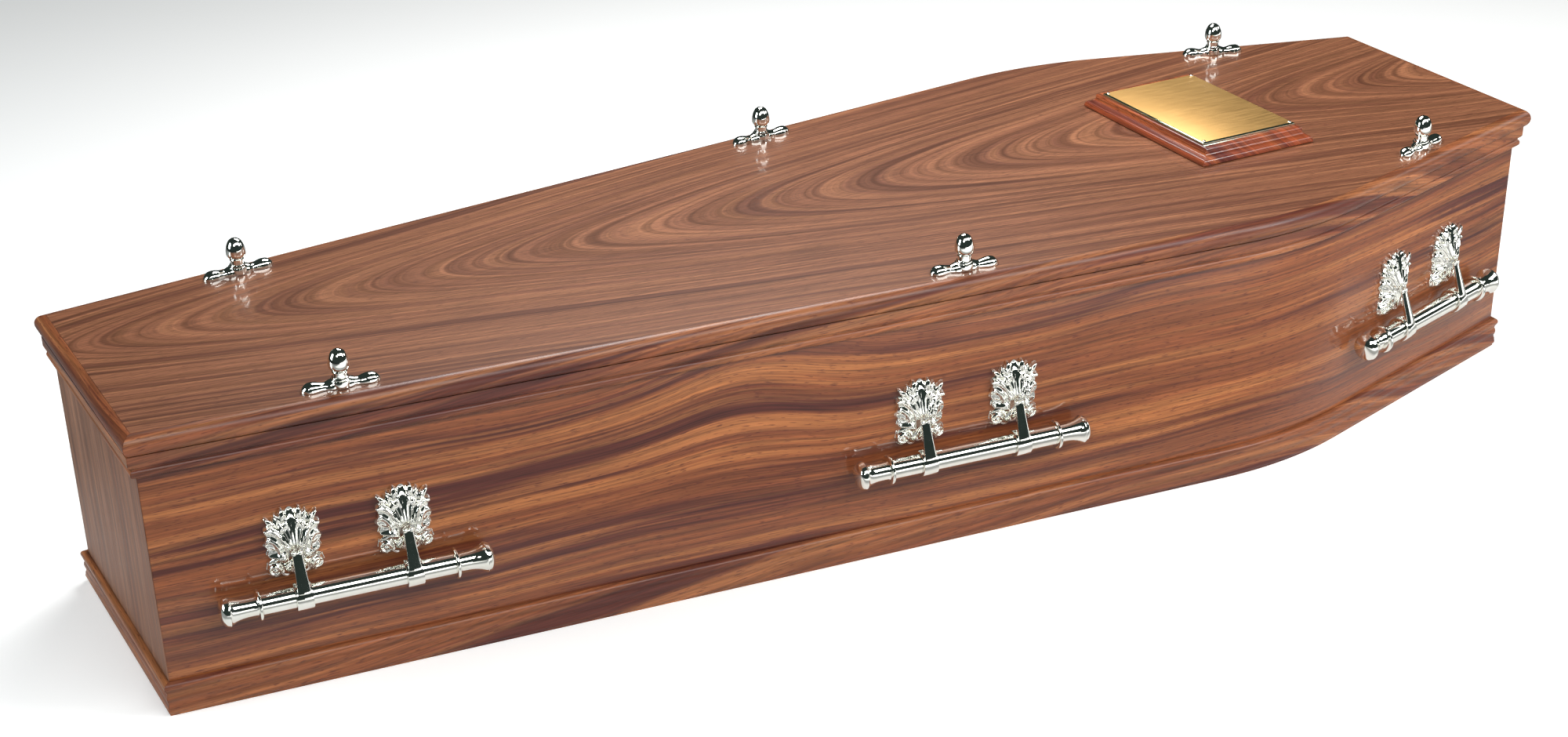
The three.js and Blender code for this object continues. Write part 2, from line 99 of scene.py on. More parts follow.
# %% Light the studio
WHITE = (1.0, 1.0, 1.0)
COOL_WHITE = (0.86, 0.95, 1.0)
ROOM_COLOUR = (0.30, 0.42, 0.38, 1)
ROOM_STRENGTH = 0.08
SOFTBOXES = [  # name, place, target, size, all in metres, then power in watts and colour
    ("overhead", (0.35, 0.9, 2.0), (0.3, 0.1, 0.3), (1.3, 0.8), 44, WHITE),
    ("front_high", (0.9, -2.3, 2.4), (0.9, -2.3, 0.0), (4.2, 1.4), 125, WHITE),
    ("front_low", (1.4, -2.7, 0.17), (1.4, 0.0, 0.17), (4.4, 0.32), 10, WHITE),
    ("right_low", (3.5, -1.0, 0.14), (0.8, -0.2, 0.14), (1.8, 0.26), 3, WHITE),
    ("right_high", (3.5, -0.47, 1.42), (0.8, -0.3, 0.2), (0.9, 0.7), 9, WHITE),
    ("front_left", (-2.4, -3.0, 2.6), (0.0, 0.0, 0.2), (0.7, 0.7), 30, WHITE),
    ("front_right", (2.2, -2.4, 1.9), (0.6, -0.3, 0.2), (0.5, 0.4), 22, WHITE),
    ("foot", (-3.4, 0.4, 1.3), (-0.9, 0.0, 0.2), (1.2, 1.4), 48, COOL_WHITE),
]


def add_softbox(name, place, target, size, power, colour):
    light = bpy.data.lights.new(name, "AREA")
    light.shape = "RECTANGLE"
    light.size, light.size_y = size
    light.energy = power
    light.color = colour
    lamp = bpy.data.objects.new(name, light)
    bpy.context.collection.objects.link(lamp)
    lamp.location = place
    lamp.rotation_euler = (Vector(target) - lamp.location).to_track_quat("-Z", "Y").to_euler()


for softbox, *settings in SOFTBOXES:
    add_softbox(f"{softbox}_softbox", *settings)

world = bpy.data.worlds.new("studio_room")
bpy.context.scene.world = world
world.use_nodes = True
room = world.node_tree.nodes["Background"].inputs
room["Color"].default_value = ROOM_COLOUR
room["Strength"].default_value = ROOM_STRENGTH
bpy.context.scene.view_settings.view_transform = "Standard"

# %% [markdown]
# Everything below is modelled with Blender's own operators, and an operator acts on whatever is selected.
# These helpers make one piece active, open and close edit mode, pick edges by where they are, and push a
# face along a list of levels.

# %% Modelling helpers
MERGE_DISTANCE = 0.000005
SMOOTH_DEGREES = 35


def work_on(piece):
    bpy.ops.object.select_all(action="DESELECT")
    piece.select_set(True)
    bpy.context.view_layer.objects.active = piece


def open_edit(piece, kind="FACE"):
    work_on(piece)
    bpy.ops.object.mode_set(mode="EDIT")
    bpy.ops.mesh.select_mode(type=kind)
    bpy.ops.mesh.select_all(action="SELECT")


def close_edit():
    bpy.ops.object.mode_set(mode="OBJECT")


def pick_edges(piece, test):
    """From edit mode: leaves only the edges selected whose two ends pass the test."""
    bpy.ops.mesh.select_mode(type="EDGE")
    bpy.ops.mesh.select_all(action="DESELECT")
    close_edit()
    points = piece.data.vertices
    for edge in piece.data.edges:
        edge.select = test(points[edge.vertices[0]].co, points[edge.vertices[1]].co)
    bpy.ops.object.mode_set(mode="EDIT")


def new_circle(name, corners, radius=1.0, height=0.0, fill="NGON"):
    place = (0, 0, height)
    bpy.ops.mesh.primitive_circle_add(vertices=corners, radius=radius, fill_type=fill, location=place)
    bpy.ops.object.transform_apply()
    piece = bpy.context.object
    piece.name = name
    return piece


def new_section(name, points):
    """A flat face with one corner for each point, made from a circle of as many corners."""
    piece = new_circle(name, len(points))
    for corner, point in zip(piece.data.vertices, points):
        corner.co = point
    return piece


def push(vector):
    bpy.ops.mesh.extrude_region_move(TRANSFORM_OT_translate={"value": Vector(vector)})


def stretch_about(centre, ratio):
    bpy.ops.transform.resize(value=ratio, center_override=centre)


def follow_levels(levels, middle=(0, 0, 0), half=(0, 0)):
    """From edit mode: pushes the face up to each level, and widens it to the level's distance out."""
    for (before, old_height), (after, new_height) in zip(levels, levels[1:]):
        push((0, 0, new_height - old_height))
        ratio = [(side + after) / (side + before) for side in half]
        stretch_about((middle[0], middle[1], middle[2] + new_height), (*ratio, 1))


def cut_off(point, normal):
    """From edit mode: cuts the whole piece with a plane and drops what is on the normal's side."""
    bpy.ops.mesh.select_all(action="SELECT")
    bpy.ops.mesh.bisect(plane_co=point, plane_no=normal, use_fill=True, clear_outer=True)


def tidy_normals():
    bpy.ops.mesh.select_all(action="SELECT")
    bpy.ops.mesh.remove_doubles(threshold=MERGE_DISTANCE)
    bpy.ops.mesh.normals_make_consistent()


def smooth(piece, degrees=SMOOTH_DEGREES):
    work_on(piece)
    bpy.ops.object.shade_smooth_by_angle(angle=math.radians(degrees))


def finish_edit(piece, degrees=SMOOTH_DEGREES):
    """Cleans the mesh, leaves edit mode and shades the piece smooth up to an angle."""
    tidy_normals()
    close_edit()
    smooth(piece, degrees)


def copy_of(piece, name, matrix):
    """A second piece with its own mesh, moved, turned or mirrored, and kept facing outwards."""
    twin = piece.copy()
    twin.data = piece.data.copy()
    twin.name = name
    bpy.context.collection.objects.link(twin)
    twin.data.transform(matrix)
    if matrix.determinant() < 0:
        twin.data.flip_normals()
    return twin


def smooth_step(value, low, high):
    """0 below the low value, 1 above the high one, and an even curve between."""
    part = min(1.0, max(0.0, (value - low) / (high - low)))
    return part * part * (3 - 2 * part)


dressed = {}


def stand_for(piece, node, body="coffin"):
    """Notes which node of the frame a piece stands for, and which body it moves with."""
    dressed[piece.name] = (piece, body, node)


MIRROR_SIDES = Matrix.Scale(-1, 4, (0, 1, 0))
print("helpers ready")

# %% [markdown]
# The plan of the box is drawn once. Each side runs straight from the foot to the shoulder, bends there on a
# wide arc, and runs straight to the head. Boards and mouldings all follow this line at their own distance
# from it, so one function gives the line at any distance.

# %% Draw the plan
MM = 0.001
GAP_MM = 0.3
GAP = GAP_MM * MM
HALF_LENGTH = 965 * MM
FOOT_HALF = 172 * MM
SHOULDER_HALF = 320 * MM
HEAD_HALF = 178 * MM
SHOULDER_X = 492 * MM
BEND_RADIUS = 515 * MM
BEND_STEPS = 28
BOARD_MM = 18
LID_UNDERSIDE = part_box("lid_board")[0][2]
LID_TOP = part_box("lid_board")[1][2]
UP = Vector((0, 0, 1))

foot_corner = Vector((-HALF_LENGTH, -FOOT_HALF, 0))
shoulder_corner = Vector((SHOULDER_X, -SHOULDER_HALF, 0))
head_corner = Vector((HALF_LENGTH, -HEAD_HALF, 0))
foot_way = (shoulder_corner - foot_corner).normalized()
head_way = (head_corner - shoulder_corner).normalized()
foot_out = foot_way.cross(UP)
head_out = head_way.cross(UP)
BEND_TURN = foot_way.angle(head_way)
BEND_TANGENT = BEND_RADIUS * math.tan(BEND_TURN / 2)
BEND_CENTRE = shoulder_corner - foot_way * BEND_TANGENT - foot_out * BEND_RADIUS


def mirrored(vector):
    return Vector((vector.x, -vector.y, 0))


def meet(point, way, x):
    """Where a line in plan reaches a given x."""
    return point + way * ((x - point.x) / way.x)


def plan_ends(out, end_shift):
    """The near side's two corners at one distance out, the foot's and the head's."""
    foot = meet(foot_corner + foot_out * out, foot_way, -HALF_LENGTH - out - end_shift)
    head = meet(head_corner + head_out * out, head_way, HALF_LENGTH + out + end_shift)
    return foot, head


def plan_outline(out, end_shift):
    """All of the outline at one distance out, near side first, anticlockwise from above."""
    foot, head = plan_ends(out, end_shift)
    spoke = foot_out * (BEND_RADIUS + out)
    angles = [BEND_TURN * step / BEND_STEPS for step in range(BEND_STEPS + 1)]
    bend = [BEND_CENTRE + Matrix.Rotation(angle, 3, "Z") @ spoke for angle in angles]
    near = [foot, *bend, head]
    return near + [mirrored(point) for point in reversed(near)]


print("bend turns", round(math.degrees(BEND_TURN), 1), "degrees")

# %% [markdown]
# A moulding is the same section all along its run. It is drawn once, pushed along the straight, spun round
# the bend, and pushed on to the head. Then both ends are sawn off at the mitre, so that the next piece can
# meet it at the corner. The far side is the near side mirrored.

# %% Run a section round the coffin
OVERRUN = 40 * MM
MITRE_REACH = 20 * MM


def mitre(end, end_shift):
    """A point on the near corner's upright mitre plane, and its normal along the coffin."""
    inner = plan_ends(0.0, end_shift)[end]
    outer = plan_ends(MITRE_REACH, end_shift)[end]
    return inner, (outer - inner).cross(UP).normalized()


def saw_off(point, normal):
    """From edit mode: ends the piece half a joint's width before a mitre plane."""
    cut_off(point - normal * GAP / 2, normal)


def side_piece(name, section, end_shift):
    start = foot_corner - foot_way * OVERRUN
    piece = new_section(name, [start + foot_out * out + UP * height for out, height in section])
    bend_start = BEND_CENTRE + foot_out * BEND_RADIUS
    bend_end = BEND_CENTRE + head_out * BEND_RADIUS
    open_edit(piece)
    push(bend_start - start)
    bpy.ops.mesh.spin(steps=BEND_STEPS, angle=BEND_TURN, center=BEND_CENTRE, axis=(0, 0, -1))
    push(head_corner + head_way * OVERRUN - bend_end)
    for end, outwards in enumerate((-1, 1)):
        point, normal = mitre(end, end_shift)
        saw_off(point, normal if normal.x * outwards > 0 else -normal)
    finish_edit(piece)
    return piece


def end_piece(name, section, at_head, end_shift):
    """The same section across one end, with a mitre at both corners."""
    outwards = 1 if at_head else -1
    reach = (HEAD_HALF if at_head else FOOT_HALF) + OVERRUN
    face_x = outwards * (HALF_LENGTH + end_shift)
    piece = new_section(name, [(face_x + outwards * out, -reach, height) for out, height in section])
    open_edit(piece)
    push((0, 2 * reach, 0))
    point, normal = mitre(int(at_head), end_shift)
    normal = normal if normal.y < 0 else -normal
    saw_off(point, normal)
    saw_off(mirrored(point), mirrored(normal))
    finish_edit(piece)
    return piece


def add_surround(prefix, node, section, end_shift=0.0):
    """Near, far, foot and head pieces of one section, each standing for its own node."""
    near = side_piece(f"{prefix}_near", section, end_shift)
    far = copy_of(near, f"{prefix}_far", MIRROR_SIDES)
    foot = end_piece(f"{prefix}_foot", section, False, end_shift)
    head = end_piece(f"{prefix}_head", section, True, end_shift)
    pieces = (near, far, foot, head)
    for piece, end in zip(pieces, ("near", "far", "foot", "head")):
        stand_for(piece, f"{node}_{end}")
    print(prefix, "faces", len(near.data.polygons), "on a side,", len(foot.data.polygons), "at the foot")
    return pieces


# %% [markdown]
# Sections are lists of points, given as the distance out from the panel and the height. Round stretches come
# from one arc function, which keeps the lists short and the beads truly round.

# %% Draw the sections
def arc(out, height, radius, from_degrees, to_degrees, steps):
    span = to_degrees - from_degrees
    angles = [math.radians(from_degrees + span * step / steps) for step in range(steps + 1)]
    return [(out + radius * math.cos(angle), height + radius * math.sin(angle)) for angle in angles]


def in_metres(points):
    return [(out * MM, height * MM) for out, height in points]


LID_BOTTOM_MM = LID_UNDERSIDE / MM
PANEL_TOP_MM = LID_BOTTOM_MM - GAP_MM
LIPPING_RADIUS = (LID_TOP - LID_UNDERSIDE) / MM / 2
LIPPING_INNER = 5.0
END_SHIFT = -5 * MM

panel_section = in_metres([(-BOARD_MM, 0), (0, 0), (0, PANEL_TOP_MM), (-BOARD_MM, PANEL_TOP_MM)])
base_section = in_metres([
    (GAP_MM, 0), (5, 0),
    *arc(1.6, 6.4, 5.4, -52, 24, 8),
    *arc(11.2, 15.2, 6, 215, 146, 8),
    *arc(4.6, 21.7, 2.2, -30, 30, 5),
    *arc(9.8, 28, 4.6, 222, 146, 8),
    *arc(3, 36.3, 5.4, -34, 90, 14),
    (GAP_MM, 41.7),
])
rim_section = in_metres([
    (GAP_MM, 301.5),
    *arc(2, 306.8, 5.3, -100, 62, 14),
    (4.6, 312.4), (4.6, 313.4), (5.2, 313.9),
    *arc(4.8, 318.6, 4.4, -74, 8, 8),
    (9.2, PANEL_TOP_MM), (GAP_MM, PANEL_TOP_MM),
])
lipping_section = in_metres(arc(LIPPING_INNER, LID_BOTTOM_MM + LIPPING_RADIUS, LIPPING_RADIUS, -90, 90, 28))

side_panels = add_surround("side_board", "panel", panel_section)
base_mouldings = add_surround("plinth_strip", "base_moulding", base_section)
rim_mouldings = add_surround("rim_strip", "rim_moulding", rim_section)
lippings = add_surround("lid_edge", "lid_lipping", lipping_section, END_SHIFT)

# %% [markdown]
# Where two boards meet at a corner the maker takes the sharp edge off with a few strokes of fine paper. That
# rounding is under a millimetre, yet it is what draws the thin light line down the corner in the photograph.
# The outer upright edge at each end of a board gets a small bevel.

# %% Ease the corners of the panels
CORNER_EASE = 0.9 * MM
LONG_EDGE = 50 * MM
END_REACH = 1.5 * MM


def outer_upright(first, second):
    """Whether an edge is upright, long, and at an outer corner of the coffin."""
    aside = max(abs(first.x - second.x), abs(first.y - second.y))
    at_corner = abs(abs(first.x) - HALF_LENGTH) < END_REACH
    return aside < MM and abs(first.z - second.z) > LONG_EDGE and at_corner


for board in side_panels:
    open_edit(board)
    pick_edges(board, outer_upright)
    bpy.ops.mesh.bevel(offset=CORNER_EASE, segments=3, profile=0.5)
    close_edit()
    smooth(board)
print("eased", [board.name for board in side_panels])

# %% [markdown]
# The lid and the bottom are single flat boards with the plan's outline. Each starts as a flat face on the
# outline and is pushed up by its thickness. The lid's veneer stops a hair short of the rounded lipping, which
# leaves the fine joint line that shows along the edge.

# %% Cut the lid board and the bottom board
def flat_board(name, node, out, end_shift, bottom, top):
    piece = new_section(name, [point + UP * bottom for point in plan_outline(out, end_shift)])
    open_edit(piece)
    push((0, 0, top - bottom))
    tidy_normals()
    close_edit()
    stand_for(piece, node)
    return piece


BOARD = BOARD_MM * MM
LID_OUT = LIPPING_INNER * MM - GAP
lid_top_board = flat_board("lid_top_board", "lid_board", LID_OUT, END_SHIFT, LID_UNDERSIDE, LID_TOP)
floor_board = flat_board("floor_board", "bottom_board", -BOARD - GAP, 0.0, 0.0, BOARD)
print("lid top at", round(LID_TOP, 4), "m")

# %% [markdown]
# The plaque is a small wooden plinth for the name plate, with a moulded edge. A flat face is pushed up level
# by level, and each new level is widened or narrowed to the next point of the edge's profile, so the corners
# come out mitred. The plate above it is made in the same way, with a polished bevel.

# %% Build the plaque and the plate
SQUARE = ((-1, -1), (1, -1), (1, 1), (-1, 1))


def node_middle(node):
    """The middle of the bottom of a node's box, and half of the box's size."""
    low, high = [Vector(corner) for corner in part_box(node)]
    middle = (low + high) / 2
    middle.z = low.z
    return middle, (high - low) / 2


def stepped_block(name, node, levels):
    """A block on a node's place, whose edge follows levels in mm of (distance out, height)."""
    levels = in_metres(levels)
    middle, half = node_middle(node)
    out, height = levels[0]
    corners = [Vector((x * (half.x + out), y * (half.y + out), height)) for x, y in SQUARE]
    piece = new_section(name, [middle + corner for corner in corners])
    open_edit(piece)
    follow_levels(levels, middle, half.xy)
    finish_edit(piece)
    stand_for(piece, node)
    return piece


PLAQUE_HEIGHT = 2 * node_middle("plaque")[1].z / MM
PLATE_HEIGHT = 2 * node_middle("plate")[1].z / MM
name_plinth = stepped_block("name_plinth", "plaque", [
    (-2.4, 0), (-0.4, 0.6), (0, 1.6), (0, 3.2),
    *arc(-5.2, 4, 4.4, 8, 84, 8),
    *arc(-6, 14.2, 5, 238, 172, 8),
    (-11.6, 15.6),
    *arc(-15, PLAQUE_HEIGHT - 3.8, 3.8, 10, 90, 8),
])
plate_edge = [(-0.3, 0), (0, 0.3), (0, PLATE_HEIGHT - 1.1), (-2.2, PLATE_HEIGHT)]
name_plate = stepped_block("name_plate", "plate", plate_edge)
print("plaque", round(PLAQUE_HEIGHT, 1), "mm high, plate", round(PLATE_HEIGHT, 1), "mm")

# %% [markdown]
# Anything turned, such as a pin's head, a knob, a tube or its end cap, starts as a circle. It is pushed along
# its axis and scaled from level to level, which is what a lathe does with one pass of the tool.

# %% Turn round pieces
def turned(name, levels, sides=48, hollow=False):
    """A solid of revolution about Z from levels in mm of (radius, height). A hollow one is a ring."""
    levels = in_metres(levels)
    fill, kind = ("NOTHING", "EDGE") if hollow else ("NGON", "FACE")
    piece = new_circle(name, sides, *levels[0], fill)
    open_edit(piece, kind)
    follow_levels(levels)
    finish_edit(piece)
    return piece


def joined(name, pieces):
    """One piece out of several, such as a casting's post and foot."""
    bpy.ops.object.select_all(action="DESELECT")
    for piece in pieces:
        piece.select_set(True)
    bpy.context.view_layer.objects.active = pieces[0]
    bpy.ops.object.join()
    pieces[0].name = name
    return pieces[0]


PIN_INSET = 5 * MM
PIN_LEVELS = [(2.6, 0), (2.6, 0.3), (2.3, 0.8), (1.6, 1.2), (0.6, 1.4)]
pin_head = turned("plate_pin", PIN_LEVELS, sides=24)
plate_middle, plate_half = node_middle("plate")
plate_top = Vector((0, 0, 2 * plate_half.z))
pins = []
for number, (x_side, y_side) in enumerate(SQUARE, start=1):
    aside = Vector((x_side * (plate_half.x - PIN_INSET), y_side * (plate_half.y - PIN_INSET), 0))
    place = Matrix.Translation(plate_middle + plate_top + aside)
    pins.append(copy_of(pin_head, f"plate_pin_{number}", place))
bpy.data.objects.remove(pin_head)
print("pins", [pin.name for pin in pins])

# %% [markdown]
# A wreath holder is one bright casting: a low bar with a rounded lobe at each end, and a post with a stepped
# collar, a short neck and an acorn knob, round which flowers are tied. The bar is pushed along its length and
# scaled to its lobes and waist. The post is turned.

# %% Cast the wreath holders
HOLDER_HALF = 45 * MM
HOLDER_STEPS = 44
PROFILE_STEPS = 12
PROFILE_POWER = 0.7
WAIST_GIRTH = (13, 7.5)
SWELL_GIRTH = (5, 2.5)
MIDDLE_SPAN = (0.22, 0.42)
LOBE_SPAN = (0.38, 0.70)
TIP_SPAN = (0.72, 1.03)
BLUNT_TIP = 0.02
HOLDER_TOP = (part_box("wreath_holder_near_1")[1][2] - LID_TOP) / MM
POST_LEVELS = [
    (11.6, 1), (11.6, 8.2), (11.2, 9.0), (9.8, 9.4), (9.6, 11.2), (9.2, 12.0), (8.2, 12.4), (7.9, 14.5),
    (7.9, 16.4), (8.6, 16.9), (8.6, 18.3), (8.0, 18.8), (8.4, 19.6), (9.6, 20.6), (11.0, 22.4), (11.9, 24.8),
    (12.0, 27.4), (11.8, 30.0), (11.2, 33.2), (10.2, 36.4), (8.8, 39.4), (7.6, 41.4), (6.6, 42.4),
    (5.4, 42.9), (4.6, 43.8), (2.6, 44.4), (1.0, HOLDER_TOP),
]


def holder_girth(reach):
    """Width and height of the bar, in mm, at a distance from 0 in the middle to 1 at the tip."""
    swell = max(smooth_step(reach, *LOBE_SPAN), 1 - smooth_step(reach, *MIDDLE_SPAN))
    tip = math.sqrt(max(BLUNT_TIP, 1 - smooth_step(reach, *TIP_SPAN) ** 2))
    return [(waist + more * swell) * tip for waist, more in zip(WAIST_GIRTH, SWELL_GIRTH)]


def holder_foot():
    width, height = holder_girth(1.0)
    points = []
    for step in range(PROFILE_STEPS + 1):
        angle = math.pi * step / PROFILE_STEPS
        rise = math.sin(angle) ** PROFILE_POWER
        points.append((-HOLDER_HALF, 0.5 * math.cos(angle) * width * MM, rise * height * MM))
    piece = new_section("holder_foot", points)
    open_edit(piece)
    stations = [-1 + 2 * step / HOLDER_STEPS for step in range(HOLDER_STEPS + 1)]
    for before, after in zip(stations, stations[1:]):
        push(((after - before) * HOLDER_HALF, 0, 0))
        old_width, old_height = holder_girth(abs(before))
        new_width, new_height = holder_girth(abs(after))
        ratio = (1, new_width / old_width, new_height / old_height)
        stretch_about((after * HOLDER_HALF, 0, 0), ratio)
    finish_edit(piece, 50)
    return piece


def holder_place(node, side):
    """Middle and turn of a wreath holder, from its node's box and the side that it follows."""
    middle = node_middle(node)[0]
    way = foot_way if middle.x < SHOULDER_X else head_way
    turn = math.atan2(way.y, way.x)
    turn = turn if side == "near" else math.pi - turn
    return Matrix.Translation((middle.x, middle.y, LID_TOP + GAP)) @ Matrix.Rotation(turn, 4, "Z")


holder = joined("wreath_holder", [holder_foot(), turned("holder_post", POST_LEVELS)])
holders = []
for side in ("near", "far"):
    for number in (1, 2, 3):
        node = f"wreath_holder_{side}_{number}"
        piece = copy_of(holder, f"wreath_post_{side}_{number}", holder_place(node, side))
        stand_for(piece, node)
        holders.append(piece)
bpy.data.objects.remove(holder)
print("wreath holders", len(holders))

# %% [markdown]
# The handles hang from leaf-cast backplates. All six handles are the same, so one is modelled at the origin,
# with X along the side, Y into the coffin and Z up, and is then copied to each place that the frame's joints
# give. Sizes are measured from the panel's face and from the floor, as on the frame.

# %% Set out one handle
BAR_HEIGHT = 127.5 * MM
BAR_OUT = 23 * MM
ARM_SPACING = 127 * MM
PIVOT_HEIGHT = 178.5 * MM
PIVOT_OUT = 18.5 * MM
BAR_RADIUS = 12.5
BAR_TIP = 159.0
RING_AT = 113.5
BAR_SIDES = 64
WAIST_RADIUS = 11.4
RIM_RADIUS = 17.3
FLARE_LENGTH = 28.6
FLARE_STEPS = 14
FLARE_POWER = 3.2
DOME_DEPTH = 9.3
ALONG_BAR = Matrix.Translation((0, -BAR_OUT, BAR_HEIGHT)) @ Matrix.Rotation(math.pi / 2, 4, "Y")


def bar_piece(name, levels, sides=BAR_SIDES, hollow=False):
    """A piece turned from levels in mm, then laid along the bar's axis."""
    piece = turned(name, levels, sides, hollow)
    piece.data.transform(ALONG_BAR)
    return piece


def cap_piece():
    """Thin ring, narrow waist, flared rim and domed end, for the right-hand end."""
    ring = RING_AT
    flare = []
    for step in range(FLARE_STEPS + 1):
        part = step / FLARE_STEPS
        radius = WAIST_RADIUS + (RIM_RADIUS - WAIST_RADIUS) * part ** FLARE_POWER
        flare.append((radius, ring + 5 + FLARE_LENGTH * part))
    dome = []
    for degrees in range(4, 87, 8):
        angle = math.radians(degrees)
        dome.append((RIM_RADIUS * math.cos(angle), BAR_TIP + DOME_DEPTH * (math.sin(angle) - 1)))
    return bar_piece("bar_cap", [
        (12.6, ring - 2.3), (16.8, ring - 2.1), (17.8, ring - 1.4), (18.2, ring - 0.5), (18.2, ring + 0.5),
        (17.8, ring + 1.4), (16.8, ring + 2.1), (12.3, ring + 2.4), (11.6, ring + 3.4), *flare,
        (17.9, ring + 34.1), (18, ring + 34.7), (17.8, ring + 35.3), *dome,
    ])


tube = bar_piece("bar_tube", [(BAR_RADIUS, -RING_AT), (BAR_RADIUS, 0), (BAR_RADIUS, RING_AT)])
cap = cap_piece()
print("cap faces", len(cap.data.polygons))

# %% [markdown]
# An arm is a flat strap that hangs from two small beads at its knuckle and widens down to a clasp round the
# bar. The strap is pushed down from its top in steps, leaning out and widening as it goes, with a low ridge
# down its front that splits the light.

# %% Forge an arm
ARM_TOP_HALF = 5.7
ARM_FOOT_HALF = 8.0
ARM_THICK = 5.4
ARM_STEPS = 14
ARM_FLARE = 1.5
ARM_TOP_RISE = 2.5 * MM
ARM_FOOT_OUT = 12.2 * MM
ARM_FOOT_RISE = 9.2 * MM
ARM_BEVEL = 0.7 * MM
HALF_SECTION = [(1, 0.5), (1, -0.3), (0.7, -0.5), (0, -0.56)]  # share of the half width and of the thickness
CLASP_LEVELS = [
    (12.8, -10), (15.2, -10), (16.1, -9.6), (16.5, -8.7), (16.5, 8.7), (16.1, 9.6), (15.2, 10), (12.8, 10),
    (12.8, -10),
]
BEAD_RADIUS = 3.2 * MM
BEAD_PLACE = (3.7 * MM, -PIVOT_OUT - 1.0 * MM, PIVOT_HEIGHT + 2 * MM)


def arm_half(part):
    """Half of the strap's width in mm, from 0 at its top to 1 at its foot."""
    return ARM_TOP_HALF + (ARM_FOOT_HALF - ARM_TOP_HALF) * part ** ARM_FLARE


def strap_piece():
    top = Vector((0, -PIVOT_OUT, PIVOT_HEIGHT + ARM_TOP_RISE))
    foot = Vector((0, -BAR_OUT - ARM_FOOT_OUT, BAR_HEIGHT + ARM_FOOT_RISE))
    shares = [(-x, y) for x, y in HALF_SECTION] + HALF_SECTION[-2::-1]
    section = [top + Vector((x * ARM_TOP_HALF, y * ARM_THICK, 0)) * MM for x, y in shares]
    piece = new_section("strap", section)
    open_edit(piece)
    for step in range(ARM_STEPS):
        before = arm_half(step / ARM_STEPS)
        after = arm_half((step + 1) / ARM_STEPS)
        push((foot - top) / ARM_STEPS)
        stretch_about(top + (foot - top) * (step + 1) / ARM_STEPS, (after / before, 1, 1))
    tidy_normals()
    close_edit()
    bevel = piece.modifiers.new("soft_edges", "BEVEL")
    bevel.width = ARM_BEVEL
    bevel.segments = 3
    bevel.limit_method = "ANGLE"
    bevel.angle_limit = math.radians(40)
    work_on(piece)
    bpy.ops.object.modifier_apply(modifier="soft_edges")
    smooth(piece, 30)
    return piece


def knuckle_bead(side):
    place = (side * BEAD_PLACE[0], *BEAD_PLACE[1:])
    bpy.ops.mesh.primitive_uv_sphere_add(segments=24, ring_count=16, radius=BEAD_RADIUS, location=place)
    piece = bpy.context.object
    bpy.ops.object.transform_apply()
    smooth(piece, 60)
    return piece


clasp = bar_piece("clasp", CLASP_LEVELS, 48, hollow=True)
arm = joined("arm", [strap_piece(), clasp, knuckle_bead(-1), knuckle_bead(1)])
print("arm faces", len(arm.data.polygons))

# %% [markdown]
# The backplate is a swollen casting. A fan of hollow flutes rises from the knuckle and ends in curled tips.
# On each side two bands arch out of the knuckle like the letter C, with deep grooves between them. Below lie
# a smooth leaf and a round scroll. The casting stands out most just above the knuckle and is low behind the
# arm. A ring of edges that follows the outline is scaled inwards many times to make a fine disc. Each point
# is then lifted by a height worked out from where it lies, as a carver would deepen each cut.

# %% Carve the leaf backplate
LEAF_RINGS = 56
RAYS_PER_EDGE = 7
TIPS_AND_NOTCHES = [  # right half of the outline in mm from the knuckle, from the top down
    ("tip", 0, 52), ("notch", 5, 47.5), ("tip", 9.5, 53), ("notch", 13.5, 45), ("tip", 17.5, 48),
    ("notch", 20.5, 40), ("tip", 30, 45), ("notch", 26, 33), ("tip", 32, 31), ("notch", 29, 21),
    ("tip", 33, 13), ("notch", 29, 4), ("tip", 31, -2), ("notch", 27, -8), ("tip", 31.5, -15),
    ("tip", 33, -20.5), ("tip", 30.5, -28), ("tip", 23, -32), ("notch", 17.5, -29), ("tip", 11, -34),
    ("notch", 6, -28.5), ("tip", 0, -31.5),
]
LOBE_NOTCHES = ((17.5, -29), (6, -28.5))
LOWEST_LEAF, HIGHEST_LEAF = 1.2, 18.3
KNUCKLE_HEIGHT = 10.4
LOWER_SWELL = (3.0, 8.0)
UPPER_SWELL = (3.4, 14.8)
KNUCKLE_SPAN = (0.03, 0.24)
ROOT_SPAN = (5, 10)
FAN_SPAN = (1.10, 1.18)
LOWER_LEAF_SPAN = (2, 8)
TIP_SPAN_OF_FAN = (0.76, 0.86)
TIP_SPAN_OF_BANDS = (0.82, 0.94)
RIM_SPAN = (0.95, 1.0)
RIM_DROP = 2.8
BAND_CENTRE = (27.0, -1.0)
BAND_REACH = (17.0, 29.0)
BAND_OUTER_REACH = 40.0
BAND_STEP = 0.39
BAND_LIFT = 2.0
BAND_GROOVE_END = -1.5
FAN_MARGIN = 1.12
FAN_OPENS_AT = 0.97
FLUTE_EDGES = [-0.15, 0.15, 0.52, 0.96]
FLUTE_DEEPEST = 2.6
TIP_CURL = 5.0
CENTRE_TIP_DIP = 1.5
INNER_CURL = 2.8
SCROLL_CENTRE = (24.3, -21.5)
ARM_CHANNEL = (8.5, 11.5)
CHANNEL_HEIGHT = 11.2
CHANNEL_WALL = 4


